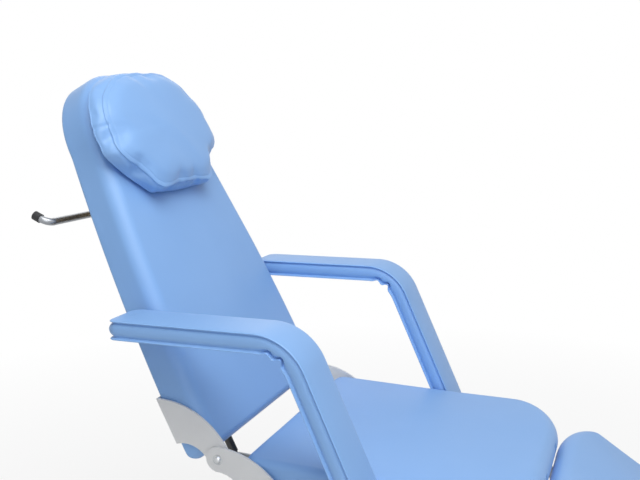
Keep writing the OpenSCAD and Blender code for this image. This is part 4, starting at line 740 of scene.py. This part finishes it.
def away_from(edge, points):
    """How far from an outline each point lies, seen from the face."""
    return np.array([np.min(np.linalg.norm(edge - p[:2], axis=1)) for p in points])


points = points_of(pillow)
seam_lean = 0.8         # the seam lies below the face, so it leans in by this share of it
face_seam = pillow_outline + pillow_in * (seam_lean * lean_in)[:, None]
moved = blown_up(
    pillow, voxel=0.0055, pressure=4.0, frames=20, cap=0.022,
    pinned=lambda p: (p[:, 2] < 0.003) & (away_from(pillow_outline, p) > 0.02),
    seam=lambda p: (
        np.exp(-((p[:, 2] - SEAM_H) / 0.006) ** 2) * (away_from(face_seam, p) < 0.012)
    ),
    shrink=0.025,
).reshape(len(pillow_rings), PILLOW_POINTS, 3)
# the cover was cut larger by as much as the filling draws its seam in, so the seam's slow
# movement is taken off again; its small waves stay at the lower end, and are fainter above
drawn_in = moved[SEAM_RING]
window = 61
reach = window // 2
slow = sum(np.roll(drawn_in, k, axis=0) for k in range(-reach, reach + 1)) / window
faint = np.clip((pillow_outline[:, 1] - 0.06) / 0.08, 0, 0.7)
small = faint[:, None] * (drawn_in - slow)
spread = np.array([abs(ring[:, 0]).max() for ring in pillow_rings]) / pillow_half
lifted = np.array([min(ring[0, 2] / SEAM_H, 1.0) for ring in pillow_rings])
moved[:, :, :2] -= spread[:, None, None] * slow[:, :2]
moved[:, :, 2] -= (spread * lifted)[:, None] * slow[:, 2]
moved -= (spread ** 16 * lifted)[:, None, None] * small
points += moved.reshape(-1, 3)
raised = points[:, 2] > FACE_H
points[raised, 2] = FACE_H + (points[raised, 2] - FACE_H) * (
    (pillow_t + pillow_crown - FACE_H) / (points[:, 2].max() - FACE_H)
)
# long soft diagonals across the face, and small puckers beside the seam, strongest low down
face = np.clip((points[:, 2] - FACE_H) / 0.012, 0, 1)
lean = Matrix.Rotation(math.radians(-52), 3, "Z")
turned_points = np.array([lean @ Vector(p) for p in points])
points[:, 2] += face * waves(turned_points * (1, 0.22, 0), 17.0, 0.0024, 4)
around = np.tile(np.arange(PILLOW_POINTS) / PILLOW_POINTS * math.tau, len(pillow_rings))
ring_run = np.column_stack([np.cos(around), np.sin(around), points[:, 2] * 6])
low_side = np.clip(1.25 - points[:, 1] / 0.12, 0.25, 1)
by_seam = np.exp(-((points[:, 2] - 0.034) / 0.013) ** 2) * low_side
edge_out = np.tile(-pillow_in, (len(pillow_rings), 1))
points[:, :2] += edge_out * (by_seam * waves(ring_run, 12.0, 0.0030, 5))[:, None]
# the gusset is two strips, joined halfway up each side by a seam that draws it in
joint_v, joint_half_w, joint_depth = 0.158, 0.0045, 0.0026
ring_x, ring_v = (np.tile(pillow_outline[:, i], len(pillow_rings)) for i in (0, 1))
joint = np.exp(-((ring_v - joint_v) / joint_half_w) ** 2)
on_gusset = np.clip(points[:, 2] / 0.006, 0, 1) * np.clip((0.042 - points[:, 2]) / 0.004, 0, 1)
at_side = np.clip(abs(ring_x) / 0.1 - 1, 0, 1)
points[:, :2] -= edge_out * (joint_depth * joint * on_gusset * at_side)[:, None]
points[:, 2] = np.maximum(points[:, 2], 0)
set_points(pillow, points)
apply_modifier(pillow, "SUBSURF", levels=1, render_levels=1)
pillow_origin = BACK_PIVOT + Matrix.Rotation(math.radians(BACK_TURN), 3, "X") @ Vector(
    (-pillow_off, back_setback + pillow_v, pillow_low_w)
)
placed(pillow, BACK_TURN, pillow_origin)
finish_cover(pillow, "headrest_pillow", "headrest")


# Armrest pads
# A bent sleeve of vinyl over foam on the bar: top and bottom panels joined to a side band by
# lipped seams. The band is too long at the inner side of the bend, so it pinches into folds.
arm_half, arm_t, arm_back, arm_bend_r, arm_turn, arm_rise = 0.050, 0.039, 0.319, 0.113, 66.7, 1.5
arm_mid_r = arm_bend_r - arm_t / 2
arm_arc = arm_mid_r * math.radians(arm_turn)
arm_bend_y, arm_top_z, arm_end_z, arm_mid_x = 0.202, 0.899, 0.503, 0.330


def along_arm(s, h):
    """Point of an armrest in its side view: s along its middle line from the start of the bend,
    h above its top face."""
    a = np.clip(s / arm_mid_r, 0, math.radians(arm_turn))
    leg = np.maximum(s - arm_arc, 0)
    y = np.maximum(-s, 0) - arm_mid_r * np.sin(a) - leg * np.cos(a)
    z = arm_mid_r * np.cos(a) - arm_bend_r - leg * np.sin(a)
    y, z = y - (h + arm_t / 2) * np.sin(a), z + (h + arm_t / 2) * np.cos(a)
    rise = math.radians(arm_rise)
    return np.stack([
        arm_bend_y + y * math.cos(rise) + z * math.sin(rise),
        arm_top_z - y * math.sin(rise) + z * math.cos(rise),
    ], axis=-1)


bend_end_z = along_arm(np.array(arm_arc), np.array(-arm_t / 2))[1]
arm_end = arm_arc + (bend_end_z - arm_end_z) / math.sin(math.radians(arm_turn - arm_rise))
straight = np.concatenate([
    np.linspace(arm_end - 0.012, arm_arc + 0.02, 24), np.linspace(arm_arc + 0.01, -0.02, 60),
    np.linspace(-0.03, -arm_back + 0.024, 26),
])


def arm_plan(half):
    """Plan of a panel, half wide, as pairs of x and s: up one side, round the tip and back."""
    lost = arm_half - half
    tip_r, mouth_r = min(0.018, half), min(0.008, half)
    tip_s, mouth_s = -arm_back + lost, arm_end - lost * 0.3
    # a narrower panel is shorter too, so its points are drawn together at both ends
    front_s, back_s = mouth_s - mouth_r - 0.002, tip_s + tip_r + 0.002
    turn_s, rest_s = arm_arc + 0.02, -0.03
    spaced = np.where(
        straight > turn_s,
        turn_s + (straight - turn_s) * (front_s - turn_s) / (straight[0] - turn_s), straight,
    )
    spaced = np.where(
        straight < rest_s,
        rest_s + (straight - rest_s) * (back_s - rest_s) / (straight[-1] - rest_s), spaced,
    )
    one = [(half * t, mouth_s) for t in (0.03, 0.5)]
    one += arc((half - mouth_r, mouth_s - mouth_r), (mouth_r, mouth_r), 90, 0, 4)
    one += [(half, s) for s in spaced]
    one += arc((half - tip_r, tip_s + tip_r), (tip_r, tip_r), 0, -90, 8)
    one += [(half * 0.5, tip_s), (half * 0.03, tip_s)]
    return np.array(one + [(-x, s) for x, s in reversed(one)])


arm_profile = [
    # bottom panel edge, lower lip, band with its belly, upper groove and lip: inset and height
    (0.0080, -0.0398), (0.0040, -0.0398), (0.0010, -0.0396), (-0.0010, -0.0391),
    (-0.0020, -0.0382), (-0.0018, -0.0372), (-0.0008, -0.0362), (0.0006, -0.0354),
    (0.0022, -0.0347), (0.0034, -0.0338), (0.0030, -0.0326), (0.0020, -0.0312),
    (0.0010, -0.0296), (0.0002, -0.0276), (-0.0003, -0.0252), (-0.0006, -0.0224),
    (-0.0007, -0.0194), (-0.0006, -0.0164), (-0.0002, -0.0136), (0.0004, -0.0112),
    (0.0012, -0.0092), (0.0022, -0.0076), (0.0034, -0.0062), (0.0040, -0.0052),
    (0.0034, -0.0043), (0.0014, -0.0037), (-0.0006, -0.0031), (-0.0014, -0.0021),
    (-0.0008, -0.0009), (0.0010, 0.0000), (0.0040, 0.0003),
]
lip_h = -0.0382
# where the lower lip buckles: place, half width, lift of the lip, depth of the crease above it
folds = ((0.033, 0.0105, 0.0075, 0.0060), (0.064, 0.0085, 0.0125, 0.0100))


def armrest_cover(side, name):
    """The cover of one armrest, made about its own middle plane and moved out to its side."""
    shape = [(share, -0.0398 - 0.0004 * (1 - share)) for share in (0.05, 0.3, 0.6, 0.82)]
    rings = [(arm_plan(arm_half * share), height) for share, height in shape]
    rings += [(arm_plan(arm_half - inset), height) for inset, height in arm_profile]
    rings += [
        (arm_plan(arm_half * share), 0.0003 + 0.0022 * (1 - share ** 2.2))
        for share in (0.84, 0.72, 0.58, 0.44, 0.3, 0.17, 0.05)
    ]
    levels = []
    for flat, height in rings:
        x, s, h = flat[:, 0].copy(), flat[:, 1].copy(), np.full(len(flat), height)
        # the band swells out at the back end between its two lips
        belly = math.sin(math.pi * np.clip((height + 0.0345) / 0.029, 0, 1))
        s -= 0.0050 * belly * np.clip((-s - arm_back + 0.020) / 0.020, 0, 1) ** 2
        inner = np.clip((-0.010 - h) / 0.029, 0, 1)
        beside_bar = np.clip((abs(x) / arm_half - 0.55) / 0.35, 0.25, 1)
        for where, width, lift, depth in folds:
            near = np.exp(-(((s - where) / width) ** 2))
            crease = np.exp(-(((s - where) / (1.25 * width)) ** 2))
            above_lip = np.exp(-(((height - lip_h - 0.0060) / 0.0034) ** 2))
            x -= np.sign(x) * crease * depth * above_lip
            x += np.sign(x) * 0.0014 * near * (height < lip_h + 0.002)
            h += near * lift * inner ** 1.5 * beside_bar
        yz = along_arm(s, h)
        levels.append(np.column_stack([x, yz]))
    piece = closed_skin(name, levels)
    apply_modifier(piece, "SUBSURF", levels=1, render_levels=1)
    piece.data.transform(Matrix.Translation((side * arm_mid_x, 0, 0)))
    return piece


for side, hand in ((1, "left"), (-1, "right")):
    arm_cover = armrest_cover(side, f"armrest_cover_{hand}")
    finish_cover(arm_cover, f"armrest_pad_{hand}", f"armrest_{hand}")


# Floor, background and lights
# A white studio sweep and three large soft lights: the strongest above and in front, a weaker one
# from the camera's side and the weakest from behind.
def seen_directly(tree):
    """1 for the rays by which an eye sees a surface, straight, mirrored or through glass."""
    paths = add_node(tree, "ShaderNodeLightPath")
    seen = add_node(
        tree, "ShaderNodeMath", {"operation": "MAXIMUM"},
        {0: paths.outputs["Is Camera Ray"], 1: paths.outputs["Is Glossy Ray"]},
    )
    return add_node(
        tree, "ShaderNodeMath", {"operation": "MAXIMUM"},
        {0: seen.outputs[0], 1: paths.outputs["Is Transmission Ray"]},
    ).outputs[0]


sweep, tree, shader, place = new_finish("white_sweep", base_color=linear("#f4f4f4"), roughness=0.9)
# near the chair the floor keeps a little of its own light and shadow; further off it is all white
reach = add_node(tree, "ShaderNodeVectorMath", {"operation": "LENGTH"}, {0: place})
share = add_node(
    tree, "ShaderNodeMapRange",
    {"From Min": 0.8, "From Max": 3.0, "To Min": 0.8, "To Max": 1.0},
    {"Value": reach.outputs["Value"]},
)
part_seen = add_node(
    tree, "ShaderNodeMath", {"operation": "MULTIPLY"},
    {0: seen_directly(tree), 1: share.outputs["Result"]},
)
white = add_node(tree, "ShaderNodeEmission", {"Strength": 1.0})
mixed = add_node(
    tree, "ShaderNodeMixShader", {},
    {0: part_seen.outputs[0], 1: shader.outputs[0], 2: white.outputs[0]},
)
tree.links.new(mixed.outputs[0], tree.nodes["Material Output"].inputs["Surface"])
bpy.ops.object.select_all(action="DESELECT")
bpy.ops.mesh.primitive_plane_add(size=40, location=(0, 0, 0))
floor = bpy.context.object
floor.name = "floor"
floor.data.materials.append(sweep)

world = bpy.data.worlds.new("studio")
bpy.context.scene.world = world
world.use_nodes = True
tree = world.node_tree
tree.nodes.clear()
room = add_node(tree, "ShaderNodeBackground", {"Color": (0.92, 0.95, 1.0, 1.0), "Strength": 0.20})
paper = add_node(tree, "ShaderNodeBackground", {"Color": (1.0, 1.0, 1.0, 1.0), "Strength": 1.0})
mixed = add_node(
    tree, "ShaderNodeMixShader", {},
    {0: seen_directly(tree), 1: room.outputs[0], 2: paper.outputs[0]},
)
add_node(tree, "ShaderNodeOutputWorld", {}, {"Surface": mixed.outputs[0]})

for lamp_name, place_at, aim, size, watts in (
    ("top_light", (-1.0, -0.6, 3.1), (0.0, 0.1, 0.6), 2.2, 64.0),
    ("side_light", (-3.2, -1.2, 1.6), (0.0, 0.2, 0.7), 2.2, 20.0),
    ("back_light", (2.4, 2.2, 2.6), (0.0, 0.2, 0.7), 2.2, 12.0),
):
    lamp = bpy.data.lights.new(lamp_name, "AREA")
    lamp.size, lamp.energy = size, watts
    stand = bpy.data.objects.new(lamp_name, lamp)
    bpy.context.scene.collection.objects.link(stand)
    stand.location = place_at
    stand.rotation_euler = (Vector(aim) - Vector(place_at)).to_track_quat("-Z", "Y").to_euler()

bpy.context.scene.view_settings.view_transform = "Standard"
